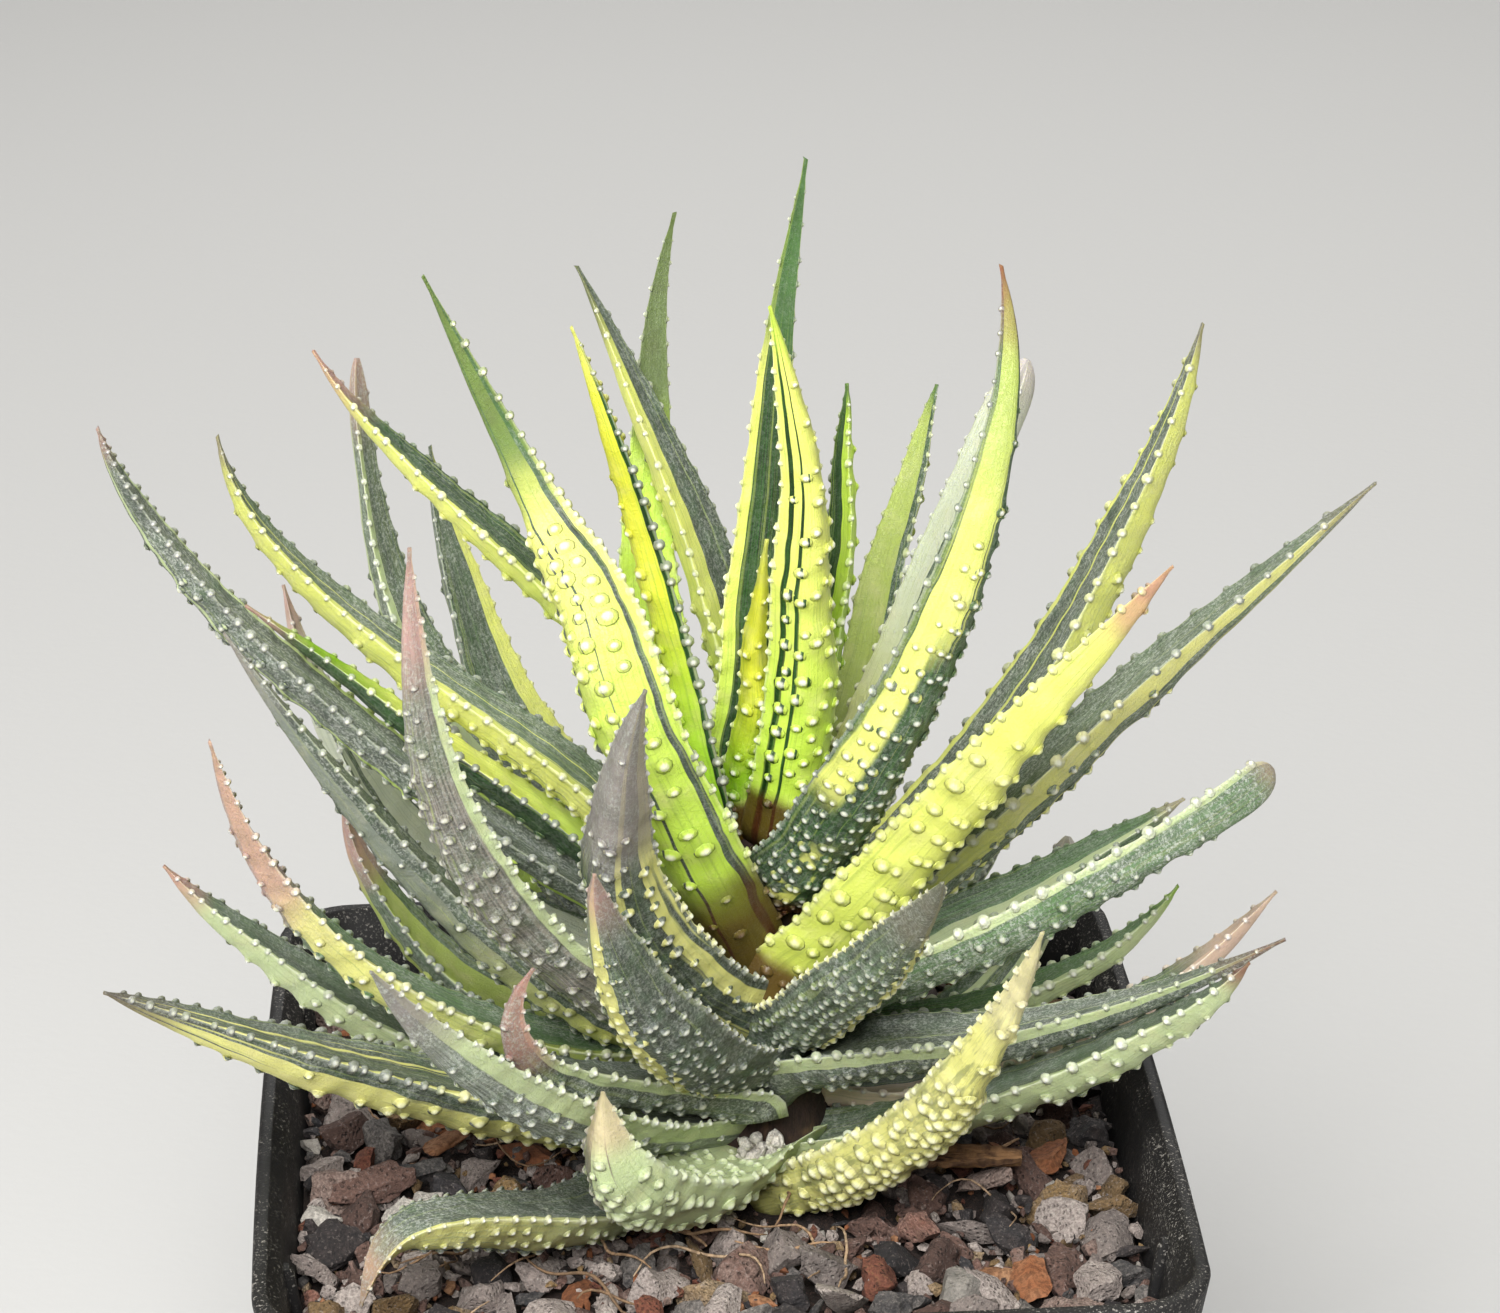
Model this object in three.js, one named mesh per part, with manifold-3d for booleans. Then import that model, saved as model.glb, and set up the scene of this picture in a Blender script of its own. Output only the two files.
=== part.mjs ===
// A potted haworthia: a square black nursery pot, a gritty substrate, a short stem and the rosette's leaves.
// Millimetres, +Z up, origin at the middle of the pot's underside, front of the pot towards -Y.
import * as THREE from "three";
import { mergeVertices } from "three/addons/utils/BufferGeometryUtils.js";
import Module from "manifold-3d";

const CLEARANCE = 0.3; // between pieces that touch

// Pot
const POT_WIDTH = 85; // across the rim, flat to flat
const POT_HEIGHT = 76;
const POT_BASE_WIDTH = 62;
const POT_CORNER = 7; // corner radius at the rim
const POT_BOW = 0.5; // how far the middle of a side bulges past its corners
const WALL = 1.4;
const FLOOR = 2.5;
const FOOT_BEVEL = 0.8;
const LIP_BEVEL = 0.5;
const BAND_HEIGHT = 9; // the stepped band under the rim
const BAND_STEP = 1;
const DRAIN_RADIUS = 4;
const DRAIN_REACH = 17; // from the middle of the floor, along X and along Y
const RIB_WIDTH = 1.4; // upright ribs inside the wall, beside the corners
const RIB_DEPTH = 0.8;
const RIB_SPACING = 52;
const RIB_DROP = 2.5; // from the rim down to the ribs' tops

// Substrate
const SOIL_TOP = 68.5; // beside the wall
const SOIL_MOUND = 1; // rise towards the middle
const SOIL_ROUGHNESS = 0.4;
const SOIL_GAP = RIB_DEPTH + 0.5; // between the substrate and the pot's wall
const SOIL_RINGS = [1, 0.9, 0.78, 0.66, 0.54, 0.42, 0.3]; // shares of the outline's size
const CHIP_PITCH = 7.8; // the grit's chips lie on a loose grid
const CHIP_SCATTER = 2;
const CHIP_SMALLEST = 3;
const CHIP_LARGEST = 7;
const CHIP_LIFT = 0.12; // how far a chip's middle stands above the grit, as a share of its size
const CHIP_TUMBLE = 0.35; // radians either way
const SEED = 41;

// Stem
const PLANT_X = 4; // the plant stands a little right of the pot's middle
const STEM_RADIUS = 7;
const STEM_FOOT = 56;
const STEM_FOOT_TAPER = 3;
const STEM_SHOULDER = 86; // the stem rounds off above this height
const STEM_TOP = 103.5;

// Leaves
const ROOT_SHARE = 0.7; // width of a leaf where it meets the stem, as a share of its widest
const WIDEST_AT = 0.22; // share of the length at which a leaf is widest
const TAPER_POWER = 1.7; // how late the leaf narrows towards its tip
const TIP_FULLNESS = 0.85; // below 1, the leaf keeps more of its width near its tip
const ROOT_THICKNESS = 0.3; // thickness of a leaf at its root and at its tip, as shares of its width there
const TIP_THICKNESS = 0.7;
const LEAST_HALF_WIDTH = 0.5;
const LEAST_THICKNESS = 1;
const LEAF_RINGS = 10;
const TUBERCLE_EVERY = 3; // one patch of the underside in three bears a tubercle
const TUBERCLE_SIZE = 1.3;
const TUBERCLE_HEIGHT = 0.55;
const TUBERCLE_MARGIN = 0.7; // most of a patch that a tubercle may cover

// Dried leaf on the grit
const DRY_LEAF_WIDTH = 5.6;
const DRY_LEAF_THICKNESS = 0.8;
const DRY_LEAF_CURL = 0.8; // lift of its margins
const DRY_LEAF_STEPS = 6;

// A station is the turn about the stem in degrees (0 is +X, 270 the front), the reach from its axis and
// the height.
const DRY_LEAF = [[332, 10, 71.5], [336, 18, 71.4], [339, 26, 72]];

// The rosette, oldest leaf first: width, stations from root to tip, and the turns that its underside faces
// at root and at tip where those aren't simply the way it leans.
const LEAVES = [
  // lying low over the grit
  { width: 9.5, stations: [[209, 9.5, 70.5], [224, 27, 74], [225, 42, 80], [222, 49.5, 73.5]] },
  { width: 11.5, stations: [[262, 8, 73], [244, 27.5, 80.5], [242, 32, 91.5]], faces: [259, 243] },
  { width: 8.5, stations: [[289, 8, 69], [304, 27, 86], [299, 45, 111.5]], faces: [270, 285] },
  { width: 10, stations: [[60, 8, 70.5], [58, 27, 73.5], [56, 44, 82]] },
  { width: 10, stations: [[104, 8, 71.5], [101, 27, 74], [102, 44, 86]] },
  { width: 9, stations: [[139, 8, 69.5], [147, 22, 73], [150, 34, 80]] },
  { width: 8.5, stations: [[176, 8, 70.5], [175, 36.5, 84], [178, 54.5, 100]] },
  { width: 11, stations: [[195, 8, 73], [200, 36, 85.5], [201, 62.5, 99.5]] },
  { width: 8, stations: [[311, 8.5, 73.5], [334, 33.5, 86.5], [332, 48, 99.5]] },
  { width: 8.5, stations: [[357, 8, 76.5], [352, 29, 82.5], [352, 48, 98.5]] },
  { width: 8.5, stations: [[28, 8, 74], [23, 25, 80.5], [27, 35, 94]] },
  { width: 11, stations: [[80, 8, 76], [79, 28, 83], [77, 47, 98]] },
  { width: 11, stations: [[122, 8, 75], [124, 28, 81], [125, 46, 96]] },
  { width: 10, stations: [[227, 8, 75.5], [231, 33.5, 90.5], [231, 54.5, 111]] },
  { width: 8, stations: [[256, 8.5, 79], [234, 18, 85], [229, 31.5, 92.5], [234, 35, 103.5]] },
  {
    width: 9.5,
    stations: [[289, 8, 81.5], [315, 16, 86.5], [335, 28, 88.5], [335, 50.5, 101]],
    faces: [310, 340],
  },
  { width: 5.5, stations: [[3, 8, 82], [356, 27.5, 87.5], [355, 39, 98]] },
  // middle of the rosette
  { width: 8, stations: [[173, 8, 80.5], [162, 23, 81.5], [160, 35, 89], [165, 39.5, 102]] },
  { width: 11, stations: [[50, 8, 80], [47, 24, 84], [45, 38, 90]] },
  { width: 7.5, stations: [[208, 8, 81.5], [193, 36, 94], [198, 51, 120.5]] },
  { width: 11, stations: [[102, 8, 82.5], [101, 27, 91], [99, 44, 106]] },
  { width: 12, stations: [[260, 8, 83], [247, 27.5, 98], [249, 43.5, 118.5]] },
  { width: 9, stations: [[189, 8, 83.5], [192, 26, 97], [190, 48, 127.5]] },
  { width: 10, stations: [[130, 8, 80], [134, 27, 87.5], [131, 43, 101]] },
  { width: 10, stations: [[157, 8, 86.5], [155, 33.5, 94.5], [156, 47.5, 120.5]] },
  { width: 11, stations: [[70, 8, 84.5], [65, 25, 93], [62, 40, 106]] },
  { width: 9, stations: [[23, 8, 86], [14, 25, 92.5], [13, 42.5, 100.5]] },
  { width: 10, stations: [[282, 8, 86], [290, 25, 101], [285, 48.5, 120]] },
  { width: 8.5, stations: [[225, 8, 85.5], [225, 36, 113], [228, 45, 145]] },
  { width: 8, stations: [[326, 8, 87], [334, 30.5, 102.5], [352, 47, 111]], faces: [300, 312] },
  { width: 10.5, stations: [[253, 8, 88.5], [240, 25, 108], [252, 36.5, 132.5]] },
  { width: 10, stations: [[355, 7.5, 90.5], [0, 26.5, 109], [0, 56, 136]] },
  { width: 7, stations: [[184, 7.5, 91.5], [175, 43.5, 120], [179, 58, 143.5]] },
  { width: 10, stations: [[92, 7.5, 88.5], [88, 23, 98], [86, 36, 111]] },
  { width: 11, stations: [[289, 8, 91], [324, 21, 112.5], [325, 41.5, 138]], faces: [306, 328] },
  // the upright heart
  { width: 6, stations: [[167, 7, 94], [175, 24.5, 108.5], [177, 46, 125.5]] },
  {
    width: 10,
    stations: [[254, 7, 93], [235, 22, 125.5], [211, 20.5, 136.5], [204, 31.5, 161.5]],
    faces: [246, 206],
  },
  { width: 10.5, stations: [[123, 7.5, 92], [129, 34, 102], [128, 47.5, 127.5]] },
  { width: 8, stations: [[138, 6.5, 97], [144, 34.5, 108], [142, 45.5, 140]] },
  { width: 6, stations: [[30, 6.5, 96], [29, 16.5, 120], [25, 28.5, 144]] },
  { width: 9.5, stations: [[357, 7, 94], [7, 28.5, 120.5], [6, 40.5, 150]] },
  { width: 6, stations: [[60, 7.5, 91], [51, 20.5, 119.5], [54, 31.5, 137]] },
  { width: 8, stations: [[208, 7.5, 96], [173, 17.5, 109], [171, 36.5, 122.5], [174, 48, 141]] },
  {
    width: 9.5,
    stations: [[291, 6, 99.5], [301, 14.5, 112], [312, 25, 136.5], [334, 22.5, 160.5]],
    faces: [262, 335],
  },
  { width: 7, stations: [[129, 6.5, 101.5], [123, 17, 124], [102, 27.5, 154]] },
  { width: 6.5, stations: [[170, 5.5, 101], [160, 16, 121.5], [161, 29.5, 133.5], [160, 42, 145.5]] },
  { width: 6.5, stations: [[230, 5, 104], [204, 9, 129], [197, 17, 154]] },
  { width: 9, stations: [[78, 8, 98.5], [102, 11, 121.5], [125, 27, 150.5]] },
  { width: 4.5, stations: [[23, 4.5, 104], [31, 9, 128], [32, 10, 144.5]] },
  { width: 7.5, stations: [[103, 3, 105.5], [83, 4, 126], [59, 9, 165]], faces: [95, 80] },
  { width: 7.5, stations: [[315, 3.5, 105.5], [315, 6, 131], [275, 8, 156.5]], faces: [282, 305] },
  { width: 4, stations: [[200, 1, 104.5], [235, 0.5, 117], [281, 4.5, 133.5]], faces: [260, 260] },
];
const LOW_LEAVES = 9; // the first of them, which press into the grit

const wasm = await Module();
wasm.setup();

const mix = (a, b, share) => a + (b - a) * share;
const share01 = (value) => Math.min(Math.max(value, 0), 1);

// Seeded draws from 0 to 1, so that every chip keeps its place.
function seededRandom(seed) {
  let state = seed;
  return () => {
    state = (Math.imul(state, 1664525) + 1013904223) >>> 0;
    return state / 2 ** 32;
  };
}

// ---------------------------------------------------------------- solids

function geometryFrom(points, faces) {
  const geometry = new THREE.BufferGeometry();
  geometry.setAttribute("position", new THREE.Float32BufferAttribute(points.flat(), 3));
  geometry.setIndex(faces.flat());
  return geometry;
}

// The same skin with each corner stored once and nothing but positions.
function bareSkin(geometry) {
  const bare = geometry.clone();
  bare.deleteAttribute("normal");
  bare.deleteAttribute("uv");
  return mergeVertices(bare, 1e-4);
}

function toSolid(geometry) {
  const skin = bareSkin(geometry);
  return new wasm.Manifold(
    new wasm.Mesh({
      numProp: 3,
      vertProperties: new Float32Array(skin.attributes.position.array),
      triVerts: new Uint32Array(skin.index.array),
    }),
  );
}

function toGeometry(solid) {
  const mesh = solid.getMesh();
  const geometry = new THREE.BufferGeometry();
  geometry.setAttribute("position", new THREE.BufferAttribute(new Float32Array(mesh.vertProperties), 3));
  geometry.setIndex(new THREE.BufferAttribute(new Uint32Array(mesh.triVerts), 1));
  return geometry;
}

// The biggest of a solid's separate bodies: loose scraps are dropped.
function largestBody(solid) {
  return solid.decompose().sort((a, b) => b.volume() - a.volume())[0];
}

// A round rod along Z, between two heights.
function rod(radius, bottom, top, sides) {
  const geometry = new THREE.CylinderGeometry(radius, radius, top - bottom, sides);
  geometry.rotateX(Math.PI / 2);
  geometry.translate(0, 0, (bottom + top) / 2);
  return geometry;
}

// Joins rings of equal length into one closed skin. Seen from the last ring, each runs anticlockwise.
function loft(rings) {
  const count = rings[0].length;
  const faces = [];
  for (let ring = 0; ring + 1 < rings.length; ring++)
    for (let i = 0; i < count; i++) {
      const a = ring * count + i;
      const b = ring * count + ((i + 1) % count);
      faces.push([a, b, b + count], [a, b + count, a + count]);
    }
  const last = (rings.length - 1) * count;
  for (let i = 1; i + 1 < count; i++) {
    faces.push([0, i + 1, i]);
    faces.push([last, last + i, last + i + 1]);
  }
  return geometryFrom(rings.flat(), faces);
}

function named(name, geometry, color, roughness) {
  const material = new THREE.MeshStandardMaterial({ color, roughness, metalness: 0, flatShading: true });
  const mesh = new THREE.Mesh(geometry, material);
  mesh.name = name;
  return mesh;
}

// ---------------------------------------------------------------- pot

// Width of the pot's outer wall at a height, flat to flat, without the band under the rim.
const potWidthAt = (height) => mix(POT_BASE_WIDTH, POT_WIDTH - 2 * BAND_STEP, height / POT_HEIGHT);

// One level outline of the pot: four bowed sides joined by round corners.
function potOutline(width, height, inset = 0) {
  const half = width / 2 - inset;
  const radius = Math.max(POT_CORNER - inset, 1.5);
  const straight = half - radius;
  const sideSteps = 3;
  const cornerSteps = 4;
  const quarter = [];
  for (let i = 0; i < sideSteps; i++) {
    const along = -1 + (2 * i) / sideSteps;
    quarter.push([half - POT_BOW * along * along, straight * along]);
  }
  for (let i = 0; i < cornerSteps; i++) {
    const angle = ((i / cornerSteps) * Math.PI) / 2;
    const centre = straight - POT_BOW;
    quarter.push([centre + radius * Math.cos(angle), centre + radius * Math.sin(angle)]);
  }
  return [0, 1, 2, 3].flatMap((side) => {
    const cos = Math.cos((side * Math.PI) / 2);
    const sin = Math.sin((side * Math.PI) / 2);
    return quarter.map(([x, y]) => [x * cos - y * sin, x * sin + y * cos, height]);
  });
}

// Two upright ribs on the inside of the +X wall, leaning with it.
function makeRibPair() {
  const top = POT_HEIGHT - RIB_DROP;
  const bottom = FLOOR / 2;
  const middle = (top + bottom) / 2;
  const lean = Math.atan((potWidthAt(top) - potWidthAt(bottom)) / 2 / (top - bottom));
  const ribs = [-1, 1].map((hand) => {
    const rib = new THREE.BoxGeometry(2 * RIB_DEPTH, RIB_WIDTH, top - bottom);
    rib.rotateY(lean);
    rib.translate(potWidthAt(middle) / 2 - WALL - POT_BOW / 2, (hand * RIB_SPACING) / 2, middle);
    return rib;
  });
  return ribs;
}

function makePot() {
  const bandFoot = POT_HEIGHT - BAND_HEIGHT;
  const skin = loft([
    potOutline(POT_BASE_WIDTH, 0, FOOT_BEVEL),
    potOutline(potWidthAt(FOOT_BEVEL), FOOT_BEVEL),
    potOutline(potWidthAt(bandFoot), bandFoot),
    potOutline(potWidthAt(bandFoot + BAND_STEP) + 2 * BAND_STEP, bandFoot + BAND_STEP),
    potOutline(POT_WIDTH, POT_HEIGHT - LIP_BEVEL),
    potOutline(POT_WIDTH, POT_HEIGHT, LIP_BEVEL),
    potOutline(POT_WIDTH, POT_HEIGHT, WALL),
    potOutline(potWidthAt(POT_HEIGHT), POT_HEIGHT - BAND_STEP, WALL),
    potOutline(potWidthAt(FLOOR), FLOOR, WALL),
  ]);
  let pot = toSolid(skin);
  for (const side of [0, 1, 2, 3])
    for (const rib of makeRibPair()) {
      rib.rotateZ((side * Math.PI) / 2);
      pot = pot.add(toSolid(rib));
    }
  for (const x of [-DRAIN_REACH, DRAIN_REACH])
    for (const y of [-DRAIN_REACH, DRAIN_REACH]) {
      const hole = rod(DRAIN_RADIUS, -FLOOR, 2 * FLOOR, 12);
      hole.translate(x, y, 0);
      pot = pot.subtract(toSolid(hole));
    }
  return toGeometry(pot);
}

// ---------------------------------------------------------------- stem

function makeStem() {
  const domeSteps = 5;
  const profile = [
    [0, STEM_FOOT],
    [STEM_RADIUS - STEM_FOOT_TAPER, STEM_FOOT],
    [STEM_RADIUS, STEM_FOOT + STEM_FOOT_TAPER],
  ];
  for (let step = 0; step < domeSteps; step++) {
    const angle = ((step / domeSteps) * Math.PI) / 2;
    profile.push([STEM_RADIUS * Math.cos(angle), mix(STEM_SHOULDER, STEM_TOP, Math.sin(angle))]);
  }
  profile.push([0, STEM_TOP]);
  const outline = profile.map(([radius, height]) => new THREE.Vector2(radius, height));
  const stem = new THREE.LatheGeometry(outline, 20);
  stem.rotateX(Math.PI / 2);
  stem.translate(PLANT_X, 0, 0);
  return toGeometry(toSolid(stem));
}

// ---------------------------------------------------------------- leaves

function stationPoint([turn, reach, height]) {
  const angle = THREE.MathUtils.degToRad(turn);
  return new THREE.Vector3(PLANT_X + reach * Math.cos(angle), reach * Math.sin(angle), height);
}

// The smooth curve of the lowest order that passes through evenly spaced points.
class StationCurve extends THREE.Curve {
  constructor(stations) {
    super();
    this.points = stations.map(stationPoint);
  }

  getPoint(t, target = new THREE.Vector3()) {
    const last = this.points.length - 1;
    target.set(0, 0, 0);
    this.points.forEach((point, i) => {
      let weight = 1;
      for (let j = 0; j <= last; j++) if (j !== i) weight *= (t * last - j) / (i - j);
      target.addScaledVector(point, weight);
    });
    return target;
  }
}

// Share of its full width that a leaf has at a share t of its length.
function widthShare(t) {
  const swell = THREE.MathUtils.smoothstep(t, 0, WIDEST_AT);
  return mix(ROOT_SHARE, 1, swell) * (1 - t ** TAPER_POWER) ** TIP_FULLNESS;
}

// Turn of the level line from a leaf's root to its tip.
function leanOf({ stations }) {
  const root = stationPoint(stations[0]);
  const tip = stationPoint(stations.at(-1));
  return THREE.MathUtils.radToDeg(Math.atan2(tip.y - root.y, tip.x - root.x));
}

// Section of a leaf, in shares of its half width and thickness: a hollowed upper face, margins, a keel below.
const SECTION = [
  [1, 0.2],
  [0, 0.04],
  [-1, 0.2],
  [-0.6, -0.45],
  [0, -0.75],
  [0.6, -0.45],
];
const FIRST_UNDERSIDE = 2; // the sides of the section from this one on bear tubercles

// The sections along a leaf, each grown outwards by swellBy.
function leafRings(leaf, swellBy = 0) {
  const curve = new StationCurve(leaf.stations);
  const [faceAtRoot, faceAtTip] = leaf.faces ?? [leanOf(leaf), leanOf(leaf)];
  const up = new THREE.Vector3(0, 0, 1);
  const rings = [];
  for (let ring = 0; ring < LEAF_RINGS; ring++) {
    const t = (ring / LEAF_RINGS) ** 0.9;
    const centre = curve.getPoint(t);
    const tangent = curve.getTangent(t);
    const face = THREE.MathUtils.degToRad(mix(faceAtRoot, faceAtTip, t));
    const side = up.clone().cross(new THREE.Vector3(Math.cos(face), Math.sin(face), 0));
    side.addScaledVector(tangent, -side.dot(tangent)).normalize();
    const above = tangent.clone().cross(side);
    const width = leaf.width * widthShare(t);
    const halfWidth = Math.max(width / 2, LEAST_HALF_WIDTH) + swellBy;
    const thickness = Math.max(width * mix(ROOT_THICKNESS, TIP_THICKNESS, t), LEAST_THICKNESS) + 2 * swellBy;
    const lift = ([, through]) => through * thickness + (through > 0 ? swellBy : 0);
    const place = (corner) =>
      centre
        .clone()
        .addScaledVector(side, corner[0] * halfWidth)
        .addScaledVector(above, lift(corner));
    rings.push(SECTION.map((corner) => place(corner).toArray()));
  }
  return rings;
}

// Raises one four-sided tubercle in the middle of a patch of the skin.
function addTubercle(points, faces, corners) {
  const [a, b, c, d] = corners.map((corner) => new THREE.Vector3(...points[corner]));
  const patch = (u, v) => a.clone().lerp(b, u).lerp(d.clone().lerp(c, u), v);
  const across = patch(1, 0.5).sub(patch(0, 0.5));
  const along = patch(0.5, 1).sub(patch(0.5, 0));
  const u = Math.min(TUBERCLE_SIZE / across.length(), TUBERCLE_MARGIN) / 2;
  const v = Math.min(TUBERCLE_SIZE / along.length(), TUBERCLE_MARGIN) / 2;
  const height = TUBERCLE_HEIGHT * share01((2 * u * across.length()) / TUBERCLE_SIZE);
  const outward = across.cross(along).normalize();
  const add = (point) => points.push(point.toArray()) - 1;
  const base = [
    [-u, -v],
    [u, -v],
    [u, v],
    [-u, v],
  ].map(([du, dv]) => add(patch(0.5 + du, 0.5 + dv)));
  const peak = add(patch(0.5, 0.5).addScaledVector(outward, height));
  for (let i = 0; i < 4; i++) {
    const next = (i + 1) % 4;
    faces.push([corners[i], corners[next], base[next]], [corners[i], base[next], base[i]]);
    faces.push([base[i], base[next], peak]);
  }
}

// A leaf as one closed skin. The tubercles step round it from leaf to leaf.
function makeLeaf(leaf, index) {
  const rings = leafRings(leaf);
  const count = SECTION.length;
  const points = rings.flat();
  const faces = [];
  for (let ring = 0; ring + 1 < rings.length; ring++)
    for (let side = 0; side < count; side++) {
      const next = (side + 1) % count;
      const [a, b] = [ring * count + side, ring * count + next];
      const corners = [a, b, b + count, a + count];
      const bears = (ring + 2 * side + index) % TUBERCLE_EVERY === 0;
      if (side >= FIRST_UNDERSIDE && bears) addTubercle(points, faces, corners);
      else faces.push([a, b, b + count], [a, b + count, a + count]);
    }
  const last = (rings.length - 1) * count;
  const tip = points.push(new StationCurve(leaf.stations).getPoint(1).toArray()) - 1;
  for (let side = 0; side < count; side++) faces.push([last + side, last + ((side + 1) % count), tip]);
  for (let side = 1; side + 1 < count; side++) faces.push([0, side + 1, side]);
  return geometryFrom(points, faces);
}

// The dried leaf: a thin blade whose margins curl up, grown outwards by swellBy.
function makeDryLeaf(swellBy = 0) {
  const curve = new StationCurve(DRY_LEAF);
  const rings = [];
  for (let step = 0; step <= DRY_LEAF_STEPS; step++) {
    const t = step / DRY_LEAF_STEPS;
    const centre = curve.getPoint(t);
    const side = new THREE.Vector3(0, 0, 1).cross(curve.getTangent(t)).normalize();
    const halfWidth = (DRY_LEAF_WIDTH / 2) * (1 - 0.75 * t * t) + swellBy;
    const section = [
      [1, DRY_LEAF_CURL + DRY_LEAF_THICKNESS + swellBy],
      [0, DRY_LEAF_THICKNESS + swellBy],
      [-1, DRY_LEAF_CURL + DRY_LEAF_THICKNESS + swellBy],
      [-1, DRY_LEAF_CURL - swellBy],
      [0, -swellBy],
      [1, DRY_LEAF_CURL - swellBy],
    ];
    const place = ([across, lift]) => {
      const point = centre.clone().addScaledVector(side, across * halfWidth);
      return [point.x, point.y, point.z + lift];
    };
    rings.push(section.map(place));
  }
  return loft(rings);
}

// ---------------------------------------------------------------- substrate

function soilHeightAt(x, y) {
  return SOIL_TOP + SOIL_MOUND * (1 - share01(Math.hypot(x, y) / (POT_WIDTH / 2)));
}

// The packed grit: the shape of the pot's inside, with a rough top.
function makeSoilBody(random) {
  const inset = WALL + SOIL_GAP;
  const foot = FLOOR + CLEARANCE;
  const top = potOutline(potWidthAt(SOIL_TOP), SOIL_TOP, inset);
  const roughPoint = (x, y) => [x, y, soilHeightAt(x, y) + mix(-SOIL_ROUGHNESS, SOIL_ROUGHNESS, random())];
  const rings = SOIL_RINGS.map((share) => top.map(([x, y]) => roughPoint(x * share, y * share)));
  return toSolid(loft([potOutline(potWidthAt(foot), foot, inset), ...rings]));
}

// One angular chip: an eight-sided lump with its corners knocked about, tumbled and half sunk.
function makeChip(x, y, random) {
  const between = (low, high) => mix(low, high, random());
  const size = mix(CHIP_SMALLEST, CHIP_LARGEST, random() ** 1.5);
  const chip = bareSkin(new THREE.OctahedronGeometry(size * 0.6));
  chip.rotateX(Math.PI / 4 + between(-CHIP_TUMBLE, CHIP_TUMBLE));
  chip.scale(1, between(0.6, 0.95), between(0.45, 0.7));
  const corners = chip.attributes.position;
  for (let i = 0; i < corners.count; i++)
    for (const axis of [0, 1, 2]) corners.setComponent(i, axis, corners.getComponent(i, axis) * between(0.75, 1.15));
  chip.rotateZ(between(0, 2 * Math.PI));
  chip.translate(x, y, soilHeightAt(x, y) + size * CHIP_LIFT);
  return toSolid(chip);
}

// A plain skin that stands clear of a leaf and its tubercles on all sides.
const leafEnvelope = (leaf) => loft(leafRings(leaf, TUBERCLE_HEIGHT + CLEARANCE));

function makeSubstrate() {
  const random = seededRandom(SEED);
  const reach = potWidthAt(SOIL_TOP) / 2 - WALL - SOIL_GAP - CHIP_LARGEST / 2;
  const steps = Math.floor(reach / CHIP_PITCH);
  let substrate = makeSoilBody(random);
  for (let column = -steps; column <= steps; column++)
    for (let row = -steps; row <= steps; row++) {
      const x = column * CHIP_PITCH + mix(-CHIP_SCATTER, CHIP_SCATTER, random());
      const y = row * CHIP_PITCH + mix(-CHIP_SCATTER, CHIP_SCATTER, random());
      const clearOfStem = Math.hypot(x - PLANT_X, y) > STEM_RADIUS + CHIP_LARGEST / 2;
      if (clearOfStem) substrate = substrate.add(makeChip(x, y, random));
    }
  const socket = rod(STEM_RADIUS + CLEARANCE, STEM_FOOT - CLEARANCE, STEM_TOP, 24);
  socket.translate(PLANT_X, 0, 0);
  const lowLeaves = LEAVES.slice(0, LOW_LEAVES).map(leafEnvelope);
  const resting = [socket, makeDryLeaf(CLEARANCE), ...lowLeaves];
  for (const skin of resting) substrate = substrate.subtract(toSolid(skin));
  return toGeometry(largestBody(substrate));
}

// ---------------------------------------------------------------- assembly

const OUTER_GREEN = new THREE.Color(0x6f7f63);
const HEART_YELLOW = new THREE.Color(0xb4bc3c);

const plant = new THREE.Group();
plant.add(named("pot", makePot(), 0x17181a, 0.55));
plant.add(named("substrate", makeSubstrate(), 0x6f6058, 0.95));
plant.add(named("stem", makeStem(), 0x6b4a2e, 0.8));
plant.add(named("dry_leaf", makeDryLeaf(), 0x8a6a45, 0.9));
LEAVES.forEach((leaf, index) => {
  const name = "leaf_" + String(index + 1).padStart(2, "0");
  const colour = OUTER_GREEN.clone().lerp(HEART_YELLOW, index / LEAVES.length);
  plant.add(named(name, makeLeaf(leaf, index), colour, 0.5));
});

export default plant;
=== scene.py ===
"""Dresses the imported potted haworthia: striped leaves with tubercles, loose grit, a dusty pot and a stage."""

import math
from dataclasses import dataclass

import bmesh
import bpy
import numpy as np
from bpy.props import FloatProperty, FloatVectorProperty, IntProperty, PointerProperty
from mathutils import Matrix, Vector


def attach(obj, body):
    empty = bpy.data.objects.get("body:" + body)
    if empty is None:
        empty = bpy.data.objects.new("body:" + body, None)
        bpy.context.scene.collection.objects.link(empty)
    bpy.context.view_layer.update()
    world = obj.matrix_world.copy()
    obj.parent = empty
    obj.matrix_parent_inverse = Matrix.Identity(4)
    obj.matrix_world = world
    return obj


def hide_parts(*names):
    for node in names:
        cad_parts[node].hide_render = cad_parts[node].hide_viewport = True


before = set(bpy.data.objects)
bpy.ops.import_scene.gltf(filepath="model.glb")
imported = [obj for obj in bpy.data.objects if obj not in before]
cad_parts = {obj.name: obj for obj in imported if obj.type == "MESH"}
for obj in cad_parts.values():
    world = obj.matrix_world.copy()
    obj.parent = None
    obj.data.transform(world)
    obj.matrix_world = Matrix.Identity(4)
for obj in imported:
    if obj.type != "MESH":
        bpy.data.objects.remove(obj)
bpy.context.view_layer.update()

bl_info = {
    "name": "Potted haworthia",
    "version": (1, 0, 0),
    "blender": (4, 5, 0),
    "location": "View3D > Sidebar > Haworthia",
    "description": "Builds a striped haworthia in a square nursery pot round its packed frame",
    "category": "Add Mesh",
}

MM = 0.001  # sizes below are in millimetres, as in the part's source
BODY = "root"

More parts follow.
